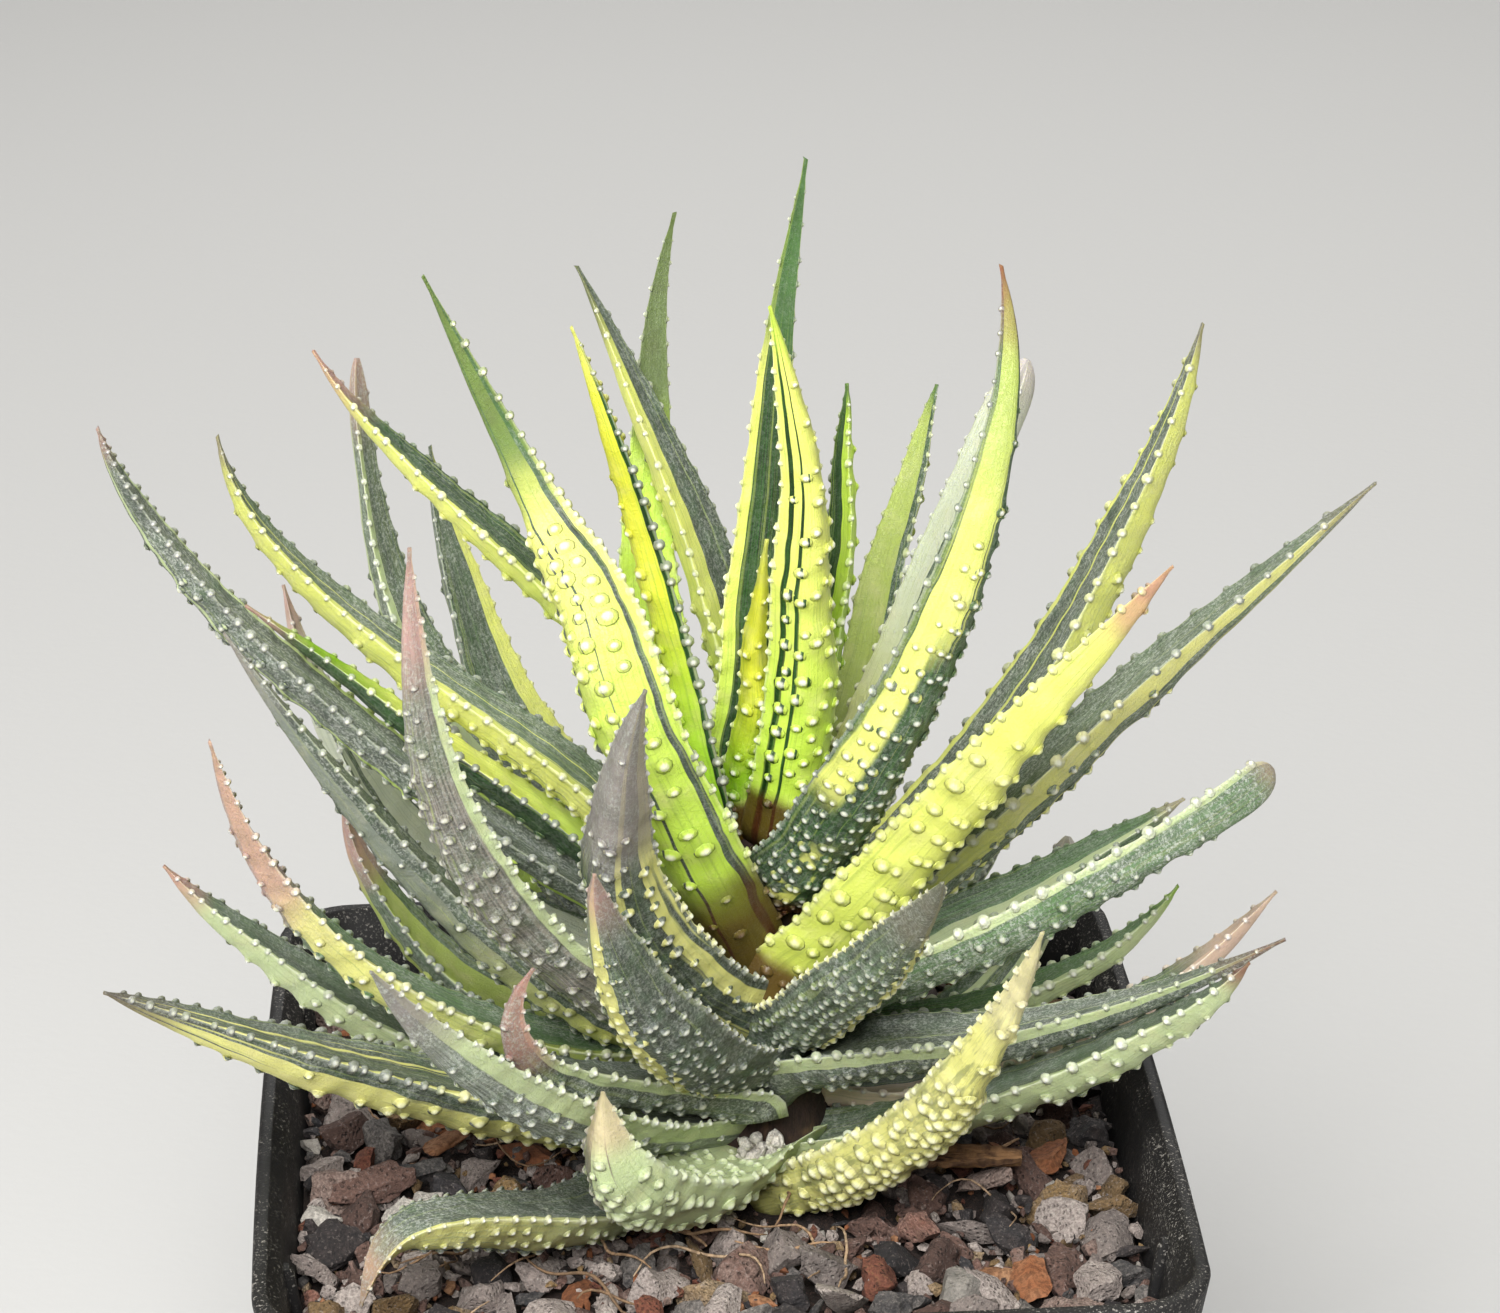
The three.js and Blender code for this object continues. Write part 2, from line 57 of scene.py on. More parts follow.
# ------------------------------------------------------------------ the part's own sizes

POT_WIDTH = 85
POT_HEIGHT = 76
POT_BASE_WIDTH = 62
POT_CORNER = 7
POT_BOW = 0.5
WALL = 1.4
FLOOR = 2.5
FOOT_BEVEL = 0.8
LIP_BEVEL = 0.5
BAND_HEIGHT = 9
BAND_STEP = 1
DRAIN_RADIUS = 4
DRAIN_REACH = 17
RIB_WIDTH = 1.4
RIB_DEPTH = 0.8
RIB_SPACING = 52
RIB_DROP = 2.5

SOIL_TOP = 68.5
SOIL_MOUND = 1

PLANT_X = 4
STEM_RADIUS = 7
STEM_FOOT = 56
STEM_SHOULDER = 86
STEM_TOP = 103.5

WIDEST_AT = 0.22
TAPER_POWER = 1.7
TIP_FULLNESS = 0.85
ROOT_THICKNESS = 0.3
TIP_THICKNESS = 0.7

DRY_LEAF = ((332, 10, 71.5), (336, 18, 71.4), (339, 26, 72))
DRY_LEAF_WIDTH = 5.6
DRY_LEAF_CURL = 0.8


def station_point(turn, reach, height):
    angle = math.radians(turn)
    return PLANT_X + reach * math.cos(angle), reach * math.sin(angle), height


def lean_of(stations):
    """Turn of the level line from a leaf's root to its tip."""
    root, tip = station_point(*stations[0]), station_point(*stations[-1])
    return math.degrees(math.atan2(tip[1] - root[1], tip[0] - root[0]))


@dataclass
class Leaf:
    """A leaf of the rosette: its shape as in the part's source, and how it is coloured.

    A station is the turn about the stem in degrees, the reach from its axis and the height. Bands are where
    the light colour lies across the leaf, from -1 to 1, on the underside and on the upper face."""

    width: float
    stations: tuple
    light: str
    deep: str
    tip: str
    frost: float
    faces: tuple = ()  # turns that its underside faces at root and tip, where it isn't the way it leans
    low: str = ""  # the light colour near the root, where it differs
    high: str = ""  # the light colour near the tip, where it differs
    under: tuple = ((-0.8, -0.3), (0.3, 0.6))
    upper: tuple = ((0.3, 0.8),)
    lines: float = 0.6  # how far the colours' borders break up into fine lines
    mottle: float = 0  # how far blotches of the dark colour show on the light one
    tip_from: float = 0.93
    brown_to: float = 0  # share of the length that is brown from the root
    dark_to: float = 0  # share of the length that is dark from the root
    knobs: str = "even"
    knob_size: float = 1
    pearly: float = 1  # how far the tubercles are whiter than the stripe they stand on
    knobs_above: bool = False  # whether the upper face carries tubercles too
    teeth: str = "fine"
    blunt: float = 0  # half the width of a blunt tip

    def __post_init__(self):
        self.faces = self.faces or (lean_of(self.stations),) * 2
        self.low = self.low or self.light
        self.high = self.high or self.light


WHOLE = ((-1, 1),)

# The rosette, oldest leaf first. Each starts with its width, stations, light and dark colour, colour of the
# tip and frost.
OUTER_LEAVES = [
    Leaf(9.5, ((209, 9.5, 70.5), (224, 27, 74), (225, 42, 80), (222, 49.5, 73.5)), "butter", "slate",
         "peach", 0.95, low="pale_lime", under=((0.3, 1),), upper=((0.8, 1),), tip_from=0.84,
         knobs="crowded"),
    Leaf(11.5, ((262, 8, 73), (244, 27.5, 80.5), (242, 32, 91.5)), "pale_lime", "drab", "straw", 0.35,
         faces=(259, 243), under=((-0.4, 1),), upper=WHOLE, lines=0.9, tip_from=0.8, knobs="crowded",
         knob_size=1.4, pearly=0.5, knobs_above=True),
    Leaf(8.5, ((289, 8, 69), (304, 27, 86), (299, 45, 111.5)), "butter", "grey_green", "cream", 0.25,
         faces=(270, 285), under=WHOLE, upper=WHOLE, lines=0.7, mottle=0.8, tip_from=0.8, knobs="crowded",
         knob_size=1.5, pearly=0.6),
    Leaf(10, ((60, 8, 70.5), (58, 27, 73.5), (56, 44, 82)), "butter", "grey_green", "rose", 0.7),
    Leaf(10, ((104, 8, 71.5), (101, 27, 74), (102, 44, 86)), "pale_lime", "slate", "umber", 0.8),
    Leaf(9, ((139, 8, 69.5), (147, 22, 73), (150, 34, 80)), "butter", "grey_green", "coral", 0.6),
    Leaf(8.5, ((176, 8, 70.5), (175, 36.5, 84), (178, 54.5, 100)), "pale_lime", "grey_green", "coral", 0.6,
         under=((0.0, 1),), upper=((0.8, 1),), tip_from=0.9),
    Leaf(11, ((195, 8, 73), (200, 36, 85.5), (201, 62.5, 99.5)), "butter", "slate", "plum", 0.55,
         under=((0.05, 0.8),), upper=((0.86, 1), (-0.3, -0.2)), lines=1.0, tip_from=0.9, knob_size=1.3,
         pearly=0.6),
    Leaf(8, ((311, 8.5, 73.5), (334, 33.5, 86.5), (332, 48, 99.5)), "pale_lime", "grey_green", "red", 0.5,
         under=((-1, 0.2),), upper=((-1, -0.74),), tip_from=0.92, teeth="wide"),
    Leaf(8.5, ((357, 8, 76.5), (352, 29, 82.5), (352, 48, 98.5)), "shell", "grey_green", "blush", 0.4,
         under=WHOLE, upper=((-1, -0.3),), tip_from=0.8),
    Leaf(8.5, ((28, 8, 74), (23, 25, 80.5), (27, 35, 94)), "pale_lime", "grey_green", "chalk", 0.5,
         upper=((-1, -0.4), (0.2, 0.5)), blunt=1.5),
    Leaf(11, ((80, 8, 76), (79, 28, 83), (77, 47, 98)), "lemon", "slate", "rose", 0.6),
    Leaf(11, ((122, 8, 75), (124, 28, 81), (125, 46, 96)), "pale_lime", "grey_green", "mauve", 0.8),
    Leaf(10, ((227, 8, 75.5), (231, 33.5, 90.5), (231, 54.5, 111)), "pale_lime", "ash", "mauve", 0.9,
         under=((0.75, 1), (-0.5, -0.4)), upper=((0.7, 1),), tip_from=0.8),
    Leaf(8, ((256, 8.5, 79), (234, 18, 85), (229, 31.5, 92.5), (234, 35, 103.5)), "pale_lime", "slate",
         "coral", 0.9, under=((0.88, 1),), upper=((0.93, 1),), tip_from=0.7),
    Leaf(9.5, ((289, 8, 81.5), (315, 16, 86.5), (335, 28, 88.5), (335, 50.5, 101)), "pale_lime", "slate",
         "red", 0.95, faces=(310, 340), under=((-1, -0.82),), upper=((0.95, 1), (-0.3, -0.24)),
         tip_from=0.95, pearly=0.7),
    Leaf(5.5, ((3, 8, 82), (356, 27.5, 87.5), (355, 39, 98)), "pale_lime", "green", "grass", 0.4,
         under=WHOLE, upper=((-1, -0.5),)),
]
MIDDLE_LEAVES = [
    Leaf(8, ((173, 8, 80.5), (162, 23, 81.5), (160, 35, 89), (165, 39.5, 102)), "olive", "grey_green",
         "rose", 0.5, upper=((-0.4, 1),), tip_from=0.8),
    Leaf(11, ((50, 8, 80), (47, 24, 84), (45, 38, 90)), "pale_lime", "grey_green", "umber", 0.5),
    Leaf(7.5, ((208, 8, 81.5), (193, 36, 94), (198, 51, 120.5)), "butter", "green", "rose", 0.7, low="olive",
         under=((0.32, 1),), upper=((0.7, 1),), tip_from=0.66),
    Leaf(11, ((102, 8, 82.5), (101, 27, 91), (99, 44, 106)), "lemon", "grey_green", "mauve", 0.6),
    Leaf(12, ((260, 8, 83), (247, 27.5, 98), (249, 43.5, 118.5)), "butter", "slate", "rose", 0.6,
         under=((-0.55, 0.08),), upper=((0.95, 1),), lines=0.5, tip_from=0.9, knobs="banded", pearly=0.8),
    Leaf(9, ((189, 8, 83.5), (192, 26, 97), (190, 48, 127.5)), "ash", "slate", "mauve", 0.8, low="lemon",
         under=((0.3, 0.8),), upper=((0.6, 0.7),)),
    Leaf(10, ((130, 8, 80), (134, 27, 87.5), (131, 43, 101)), "lime", "slate", "umber", 0.7),
    Leaf(10, ((157, 8, 86.5), (155, 33.5, 94.5), (156, 47.5, 120.5)), "whey", "grey_green", "rose", 0.6,
         under=WHOLE, upper=((-0.9, 0.2), (0.5, 0.9)), tip_from=0.9),
    Leaf(11, ((70, 8, 84.5), (65, 25, 93), (62, 40, 106)), "pale_lime", "grey_green", "rose", 0.6),
    Leaf(9, ((23, 8, 86), (14, 25, 92.5), (13, 42.5, 100.5)), "pale_lime", "green", "straw", 0.5,
         under=((0.3, 0.8),), upper=((-1, -0.4),)),
    Leaf(10, ((282, 8, 86), (290, 25, 101), (285, 48.5, 120)), "butter", "grey_green", "drab", 0.6,
         under=((0.1, 0.5), (0.86, 1)), upper=((-1, -0.86),), lines=0.8, tip_from=0.75, knobs="banded",
         pearly=0.7),
    Leaf(8.5, ((225, 8, 85.5), (225, 36, 113), (228, 45, 145)), "pale_lime", "dusk", "rose", 0.6,
         under=((0.88, 1),), upper=((0.88, 1),), tip_from=0.84, pearly=0.7),
    Leaf(8, ((326, 8, 87), (334, 30.5, 102.5), (352, 47, 111)), "pale_lime", "green", "blush", 1.0,
         faces=(300, 312), under=((-1, -0.9),), upper=((-1, -0.8),), lines=0.9, tip_from=0.95, teeth="wide",
         blunt=2.1),
    Leaf(10.5, ((253, 8, 88.5), (240, 25, 108), (252, 36.5, 132.5)), "butter", "slate", "mauve", 0.5,
         under=((0.15, 0.3), (0.7, 0.94)), upper=((0.94, 1),), lines=0.8, tip_from=0.62),
    Leaf(10, ((355, 7.5, 90.5), (0, 26.5, 109), (0, 56, 136)), "butter", "grey_green", "umber", 0.8,
         low="lemon", under=((-1, -0.72), (-0.34, -0.2)), upper=((-0.1, 0.0),), lines=0.9, tip_from=0.96,
         teeth="wide"),
    Leaf(7, ((184, 7.5, 91.5), (175, 43.5, 120), (179, 58, 143.5)), "pale_lime", "slate", "coral", 0.95,
         low="lime", under=((0.3, 0.5),), upper=((-1, -0.78),), lines=0.8, tip_from=0.95),
    Leaf(10, ((92, 7.5, 88.5), (88, 23, 98), (86, 36, 111)), "pale_lime", "grey_green", "umber", 0.6),
    Leaf(11, ((289, 8, 91), (324, 21, 112.5), (325, 41.5, 138)), "lemon", "forest", "coral", 0.0,
         faces=(306, 328), low="citron", under=((-1, 0.62), (0.74, 0.82)), upper=WHOLE, lines=0.4,
         tip_from=0.88, brown_to=0.06, knobs="ridged", knob_size=1.4, pearly=0.4),
]
HEART_LEAVES = [
    Leaf(6, ((167, 7, 94), (175, 24.5, 108.5), (177, 46, 125.5)), "lemon", "forest", "rose", 0.2, low="lime",
         high="grass", under=((-1, -0.2),), upper=WHOLE, lines=0.7, tip_from=0.95),
    Leaf(10, ((254, 7, 93), (235, 22, 125.5), (211, 20.5, 136.5), (204, 31.5, 161.5)), "lemon", "slate",
         "green", 0.3, faces=(246, 206), low="lime", under=((-0.78, 0.22), (0.28, 0.82), (0.92, 1)),
         upper=((0.2, 0.6),), lines=0.4, tip_from=0.76, brown_to=0.09, knobs="sparse", knob_size=1.35,
         pearly=0.8),
    Leaf(10.5, ((123, 7.5, 92), (129, 34, 102), (128, 47.5, 127.5)), "lemon", "grey_green", "slate", 0.7,
         under=((-1, -0.2),), upper=((-1, -0.45),)),
    Leaf(8, ((138, 6.5, 97), (144, 34.5, 108), (142, 45.5, 140)), "pale_lime", "grey_green", "rose", 0.8,
         upper=((0.5, 1),), blunt=1.0),
    Leaf(6, ((30, 6.5, 96), (29, 16.5, 120), (25, 28.5, 144)), "whey", "grey_green", "chalk", 0.5,
         low="lemon", under=WHOLE, upper=((-0.3, 1),), tip_from=0.94, blunt=2.2),
    Leaf(9.5, ((357, 7, 94), (7, 28.5, 120.5), (6, 40.5, 150)), "lemon", "slate", "umber", 0.85,
         under=((-1, 0.35),), upper=((0.8, 1), (0.1, 0.18)), lines=0.7, tip_from=0.95, teeth="wide"),
    Leaf(6, ((60, 7.5, 91), (51, 20.5, 119.5), (54, 31.5, 137)), "olive", "forest", "green", 0.5,
         under=WHOLE, upper=((-0.5, 1),)),
    Leaf(8, ((208, 7.5, 96), (173, 17.5, 109), (171, 36.5, 122.5), (174, 48, 141)), "lemon", "grey_green",
         "umber", 0.7, under=((-0.2, 1),), upper=((0.55, 1), (-0.2, -0.12)), lines=0.8, tip_from=0.95),
    Leaf(9.5, ((291, 6, 99.5), (301, 14.5, 112), (312, 25, 136.5), (334, 22.5, 160.5)), "lemon", "forest",
         "red", 0.3, faces=(262, 335), high="olive", under=((-0.92, -0.12),), upper=((0.9, 1),), lines=0.7,
         tip_from=0.95, brown_to=0.12, dark_to=0.6, knobs="banded"),
    Leaf(7, ((129, 6.5, 101.5), (123, 17, 124), (102, 27.5, 154)), "lime", "green", "slate", 0.4,
         under=WHOLE, upper=WHOLE, tip_from=0.7),
    Leaf(6.5, ((170, 5.5, 101), (160, 16, 121.5), (161, 29.5, 133.5), (160, 42, 145.5)), "lemon", "forest",
         "coral", 0.3, low="lime", under=((0.0, 1),), upper=((0.72, 1),), lines=0.8, tip_from=0.88),
    Leaf(6.5, ((230, 5, 104), (204, 9, 129), (197, 17, 154)), "sun", "forest", "lemon", 0.0, low="fresh",
         under=((-1, 0.9),), upper=((-1, 0.82),), lines=0.35, brown_to=0.04),
    Leaf(9, ((78, 8, 98.5), (102, 11, 121.5), (125, 27, 150.5)), "lemon", "slate", "slate", 0.5, low="lime",
         under=((0.2, 1),), upper=((0.3, 1),), lines=0.8),
    Leaf(4.5, ((23, 4.5, 104), (31, 9, 128), (32, 10, 144.5)), "lime", "forest", "green", 0.1, low="grass",
         under=((-1, 0.1),), upper=((-1, -0.1),)),
    Leaf(7.5, ((103, 3, 105.5), (83, 4, 126), (59, 9, 165)), "lemon", "forest", "green", 0.12,
         faces=(95, 80), low="lime", under=((0.4, 1),), upper=((0.64, 1), (-1, -0.93)), lines=0.7,
         tip_from=0.82, knob_size=1.1),
    Leaf(7.5, ((315, 3.5, 105.5), (315, 6, 131), (275, 8, 156.5)), "lemon", "forest", "lime", 0.0,
         faces=(282, 305), low="lime", under=((-1, -0.82), (-0.7, -0.5), (-0.42, 1)), upper=WHOLE, lines=0.4,
         brown_to=0.05),
    Leaf(4, ((200, 1, 104.5), (235, 0.5, 117), (281, 4.5, 133.5)), "sun", "green", "lemon", 0.0,
         faces=(260, 260), low="grass", under=WHOLE, upper=WHOLE, lines=0.3, brown_to=0.08),
]
ROSETTE = {"leaf_outer": OUTER_LEAVES, "leaf_middle": MIDDLE_LEAVES, "leaf_heart": HEART_LEAVES}
LOW_LEAVES = OUTER_LEAVES[:9]  # they press into the grit

# ------------------------------------------------------------------ settings that a user may change


def linear(code):
    """A colour written as six hexadecimal digits, as scene-linear red, green and blue."""
    shares = [(code >> shift & 255) / 255 for shift in (16, 8, 0)]
    return tuple(c / 12.92 if c <= 0.04045 else ((c + 0.055) / 1.055) ** 2.4 for c in shares)


def colour(name, description, code):
    return FloatVectorProperty(
        name=name, description=description, subtype="COLOR", size=3, min=0, max=1, default=linear(code)
    )


def length(name, description, millimetres):
    return FloatProperty(
        name=name, description=description, subtype="DISTANCE", unit="LENGTH", min=0, default=millimetres * MM
    )


def share(name, description, default):
    return FloatProperty(name=name, description=description, subtype="FACTOR", min=0, max=1, default=default)


def power(name, description, watts):
    return FloatProperty(name=name, description=description, unit="POWER", min=0, default=watts)


class PotSettings(bpy.types.PropertyGroup):
    plastic: colour("Plastic", "Colour of the pot's matte plastic", 0x0E0E10)
    dust: colour("Dust", "Colour of the dust and lime flecks on it", 0x9C978F)
    dustiness: share("Dustiness", "How much of the rim is flecked", 0.45)


class GritSettings(bpy.types.PropertyGroup):
    smallest: length("Smallest stone", "Width of the smallest stones that lie on the bed", 1.5)
    largest: length("Largest stone", "Width of the largest stones", 5.4)
    # painted shade: the bed's near-black colour is partly the crumb's own dark tone and partly the shade in the
    # gaps between the stones
    bed: colour("Bed", "Colour of the dark crumb between the stones", 0x1A130F)
    pumice: colour("Pumice", "Colour of the grey stones", 0xB5A79F)
    lava: colour("Lava", "Colour of the brown-mauve stones", 0x7E6055)
    ochre: colour("Ochre", "Colour of the tan stones", 0x96794F)
    brick: colour("Brick", "Colour of the red-brown stones", 0x8C523E)
    charcoal: colour("Charcoal", "Colour of the black stones", 0x3A393B)
    bark: colour("Bark", "Colour of the bark chips", 0x8F5836)
    chalk: colour("Chalk", "Colour of the few white stones", 0xCFC8BD)
    fibre: colour("Fibre", "Colour of the rootlets", 0xA58463)


class StemSettings(bpy.types.PropertyGroup):
    # painted shade: the stem's near-black brown is partly its bark's own colour and partly the shade between
    # the leaves
    bark: colour("Stem", "Colour of the stem between the leaves", 0x33211A)
    husk: colour("Husk", "Colour of its dried scales", 0x9A7650)
    crumb: colour("Root crumb", "Colour of the white crumbs at its foot", 0xE4DED2)


class DryLeafSettings(bpy.types.PropertyGroup):
    paper: colour("Dried leaf", "Colour of the dried leaf on the grit", 0x96704A)
    stain: colour("Stain", "Colour of its dark patches", 0x4A3222)


class LeafSettings(bpy.types.PropertyGroup):
    knob_radius: length("Tubercle radius", "Radius of a tubercle of ordinary size", 0.62)
    knob_height: length("Tubercle height", "How far a tubercle stands off the leaf", 0.36)
    knob_spacing: length("Tubercle spacing", "Distance between the tubercles of a row", 2.5)
    pearl: colour("Pearl", "Colour of the tubercles' tips", 0xF6F6E4)
    rime: colour("Frost", "Colour of the fine frosting on the old leaves", 0xDCE0D4)
    rust: colour("Rust", "Colour of the leaves' brown bases", 0x5E3219)
    sun: colour("Sun", "Yellow of the smallest leaves", 0xE0E044)
    lemon: colour("Lemon", "Light stripes of the young leaves", 0xE2E676)
    citron: colour("Citron", "Base of the broad front leaf", 0xCCD860)
    lime: colour("Lime", "Light stripes near the roots", 0xC8E850)
    fresh: colour("Fresh", "Bright green of the heart's bases", 0xB2E636)
    grass: colour("Grass", "Fresh green of the heart", 0x83B01C)
    butter: colour("Butter", "Light stripes of the middle leaves", 0xE2DF86)
    pale_lime: colour("Pale lime", "Light stripes of the old leaves", 0xC4D29C)
    whey: colour("Whey", "Whitish stripes", 0xD4DAC0)
    olive: colour("Olive", "Dull green stripes", 0xA9B95A)
    shell: colour("Shell", "Pinkish cream stripes", 0xDCC6AE)
    blush: colour("Blush", "Pinkish tips", 0xC8A994)
    forest: colour("Forest", "Dark green of the young leaves", 0x22451A)
    green: colour("Green", "Green of the middle leaves", 0x486F34)
    grey_green: colour("Grey green", "Green of the old leaves", 0x4A5C42)
    slate: colour("Slate", "Dark grey-green", 0x3C483A)
    ash: colour("Ash", "Pale grey-green", 0x7F877A)
    dusk: colour("Dusk", "Pale grey-brown", 0x7E766C)
    drab: colour("Drab", "Grey-brown", 0x726A58)
    rose: colour("Rose", "Pink tips", 0xCB9A92)
    coral: colour("Coral", "Pink-red tips", 0xC4897F)
    red: colour("Red", "Dark red tips", 0x8A403A)
    plum: colour("Plum", "Purple-black tips", 0x553A40)
    mauve: colour("Mauve", "Mauve tips", 0x978B88)
    umber: colour("Umber", "Brown tips", 0x887868)
    straw: colour("Straw", "Dry tan tips", 0xCDB994)
    chalk: colour("Chalk", "Dry white tips", 0xD5C8C2)
    peach: colour("Peach", "Peach tips", 0xD0A283)
    cream: colour("Cream", "Cream tips", 0xDDD3A4)


class StageSettings(bpy.types.PropertyGroup):
    floor: colour("Floor", "Colour of the floor and backdrop", 0xC4C3C0)
    key: power("Key light", "Power of the main light", 12)
    fill: power("Fill light", "Power of the side light", 2.6)
    back: power("Back light", "Power of the rear light", 5)


class HaworthiaSettings(bpy.types.PropertyGroup):
    seed: IntProperty(name="Seed", description="Start of every random draw", default=7)
    pot: PointerProperty(type=PotSettings)
    grit: PointerProperty(type=GritSettings)
    stem: PointerProperty(type=StemSettings)
    dry_leaf: PointerProperty(type=DryLeafSettings)
    leaves: PointerProperty(type=LeafSettings)
    stage: PointerProperty(type=StageSettings)


# ------------------------------------------------------------------ finishes


class Reading:
    """A node's output that takes part in Python expressions: each operation adds a Math node."""

    def __init__(self, finish, socket):
        self.finish = finish
        self.socket = socket

    def sum(self, operation, *terms):
        return self.finish.node("ShaderNodeMath", {"operation": operation}, dict(enumerate(terms)))

    def __add__(self, other):
        return self.sum("ADD", self, other)

    def __sub__(self, other):
        return self.sum("SUBTRACT", self, other)

    def __rsub__(self, other):
        return self.sum("SUBTRACT", other, self)

    def __mul__(self, other):
        return self.sum("MULTIPLY", self, other)

    def __abs__(self):
        return self.sum("ABSOLUTE", self)

    __radd__ = __add__
    __rmul__ = __mul__

    def most(self, other):
        return self.sum("MAXIMUM", self, other)

    def rise(self, low, high):
        """0 below low, 1 above high and a smooth slope between."""
        limits = {"Value": self, "From Min": low, "From Max": high}
        return self.finish.node("ShaderNodeMapRange", {"interpolation_type": "SMOOTHSTEP"}, limits)

    def fall(self, low, high):
        return 1 - self.rise(low, high)


class Finish:
    """A material in the making, whose skin is painted coat by coat."""

    def __init__(self, name, skin=None):
        self.material = bpy.data.materials.new(name)
        self.material.use_nodes = True
        self.tree = self.material.node_tree
        self.surface = self.tree.nodes["Principled BSDF"]
        self.place = self.node("ShaderNodeTexCoord", output="Object")
        self.skin = skin

    def node(self, kind, settings=None, sockets=None, output=0):
        """Adds a node with its settings, then the values or links of its sockets, and gives one output."""
        made = self.tree.nodes.new(kind)
        for setting, value in (settings or {}).items():
            if setting == "stops":
                self.set_stops(made.color_ramp, value)
            else:
                setattr(made, setting, value)
        for key, value in (sockets or {}).items():
            self.feed(made.inputs[key], value)
        return Reading(self, made.outputs[output])

    def feed(self, socket, value):
        if isinstance(value, Reading):
            self.tree.links.new(value.socket, socket)
        elif socket.type == "RGBA":
            socket.default_value = (*value[:3], 1)
        else:
            socket.default_value = value

    def set_stops(self, ramp, stops):
        while len(ramp.elements) < len(stops):
            ramp.elements.new(1)
        for element, (position, tone) in zip(ramp.elements, stops):
            element.position = position
            element.color = (*tone[:3], 1)

    def reading(self, name):
        return self.node("ShaderNodeAttribute", {"attribute_name": name}, output="Fac")

    def vector(self, x, y, z):
        return self.node("ShaderNodeCombineXYZ", None, {0: x, 1: y, 2: z})

    def stretched(self, upright):
        """The place on the object, drawn out along Z where the factor is below 1 and pressed flat above."""
        return self.node("ShaderNodeMapping", None, {0: self.place, 3: (1, 1, upright)})

    def noise(self, vector, size, detail=2.0, roughness=0.5):
        sockets = {"Vector": vector, "Scale": 1 / size, "Detail": detail, "Roughness": roughness}
        return self.node("ShaderNodeTexNoise", None, sockets)

    def clouds(self, size, detail=2.0, roughness=0.5):
        """Noise fixed to the object, whose lumps have a size in millimetres."""
        return self.noise(self.place, size * MM, detail, roughness)

    def blend(self, factor, a, b):
        return self.node("ShaderNodeMix", {"data_type": "RGBA"}, {0: factor, 6: a, 7: b}, output=2)

    def ramp(self, factor, *stops):
        return self.node("ShaderNodeValToRGB", {"stops": stops}, {0: factor})

    def bump(self, height, depth, over=None):
        """Relief whose height of 1 stands for a depth in millimetres."""
        sockets = {"Height": height, "Distance": depth * MM}
        if over:
            sockets["Normal"] = over
        return self.node("ShaderNodeBump", None, sockets)

    def coat(self, cover, tone):
        """Lays a colour over the skin as far as it is covered."""
        self.skin = self.blend(cover, self.skin, tone)

    def done(self, **sockets):
        """The material, once the surface's own sockets are set, written with _ for a space."""
        for key, value in {"Base_Color": self.skin, **sockets}.items():
            self.feed(self.surface.inputs[key.replace("_", " ")], value)
        return self.material


def tinted(tone, factor):
    """A colour made darker or lighter."""
    return tuple(min(c * factor, 1) for c in tone)


def toned(a, b, part):
    """A colour between two others."""
    return tuple(x + (y - x) * part for x, y in zip(a, b))


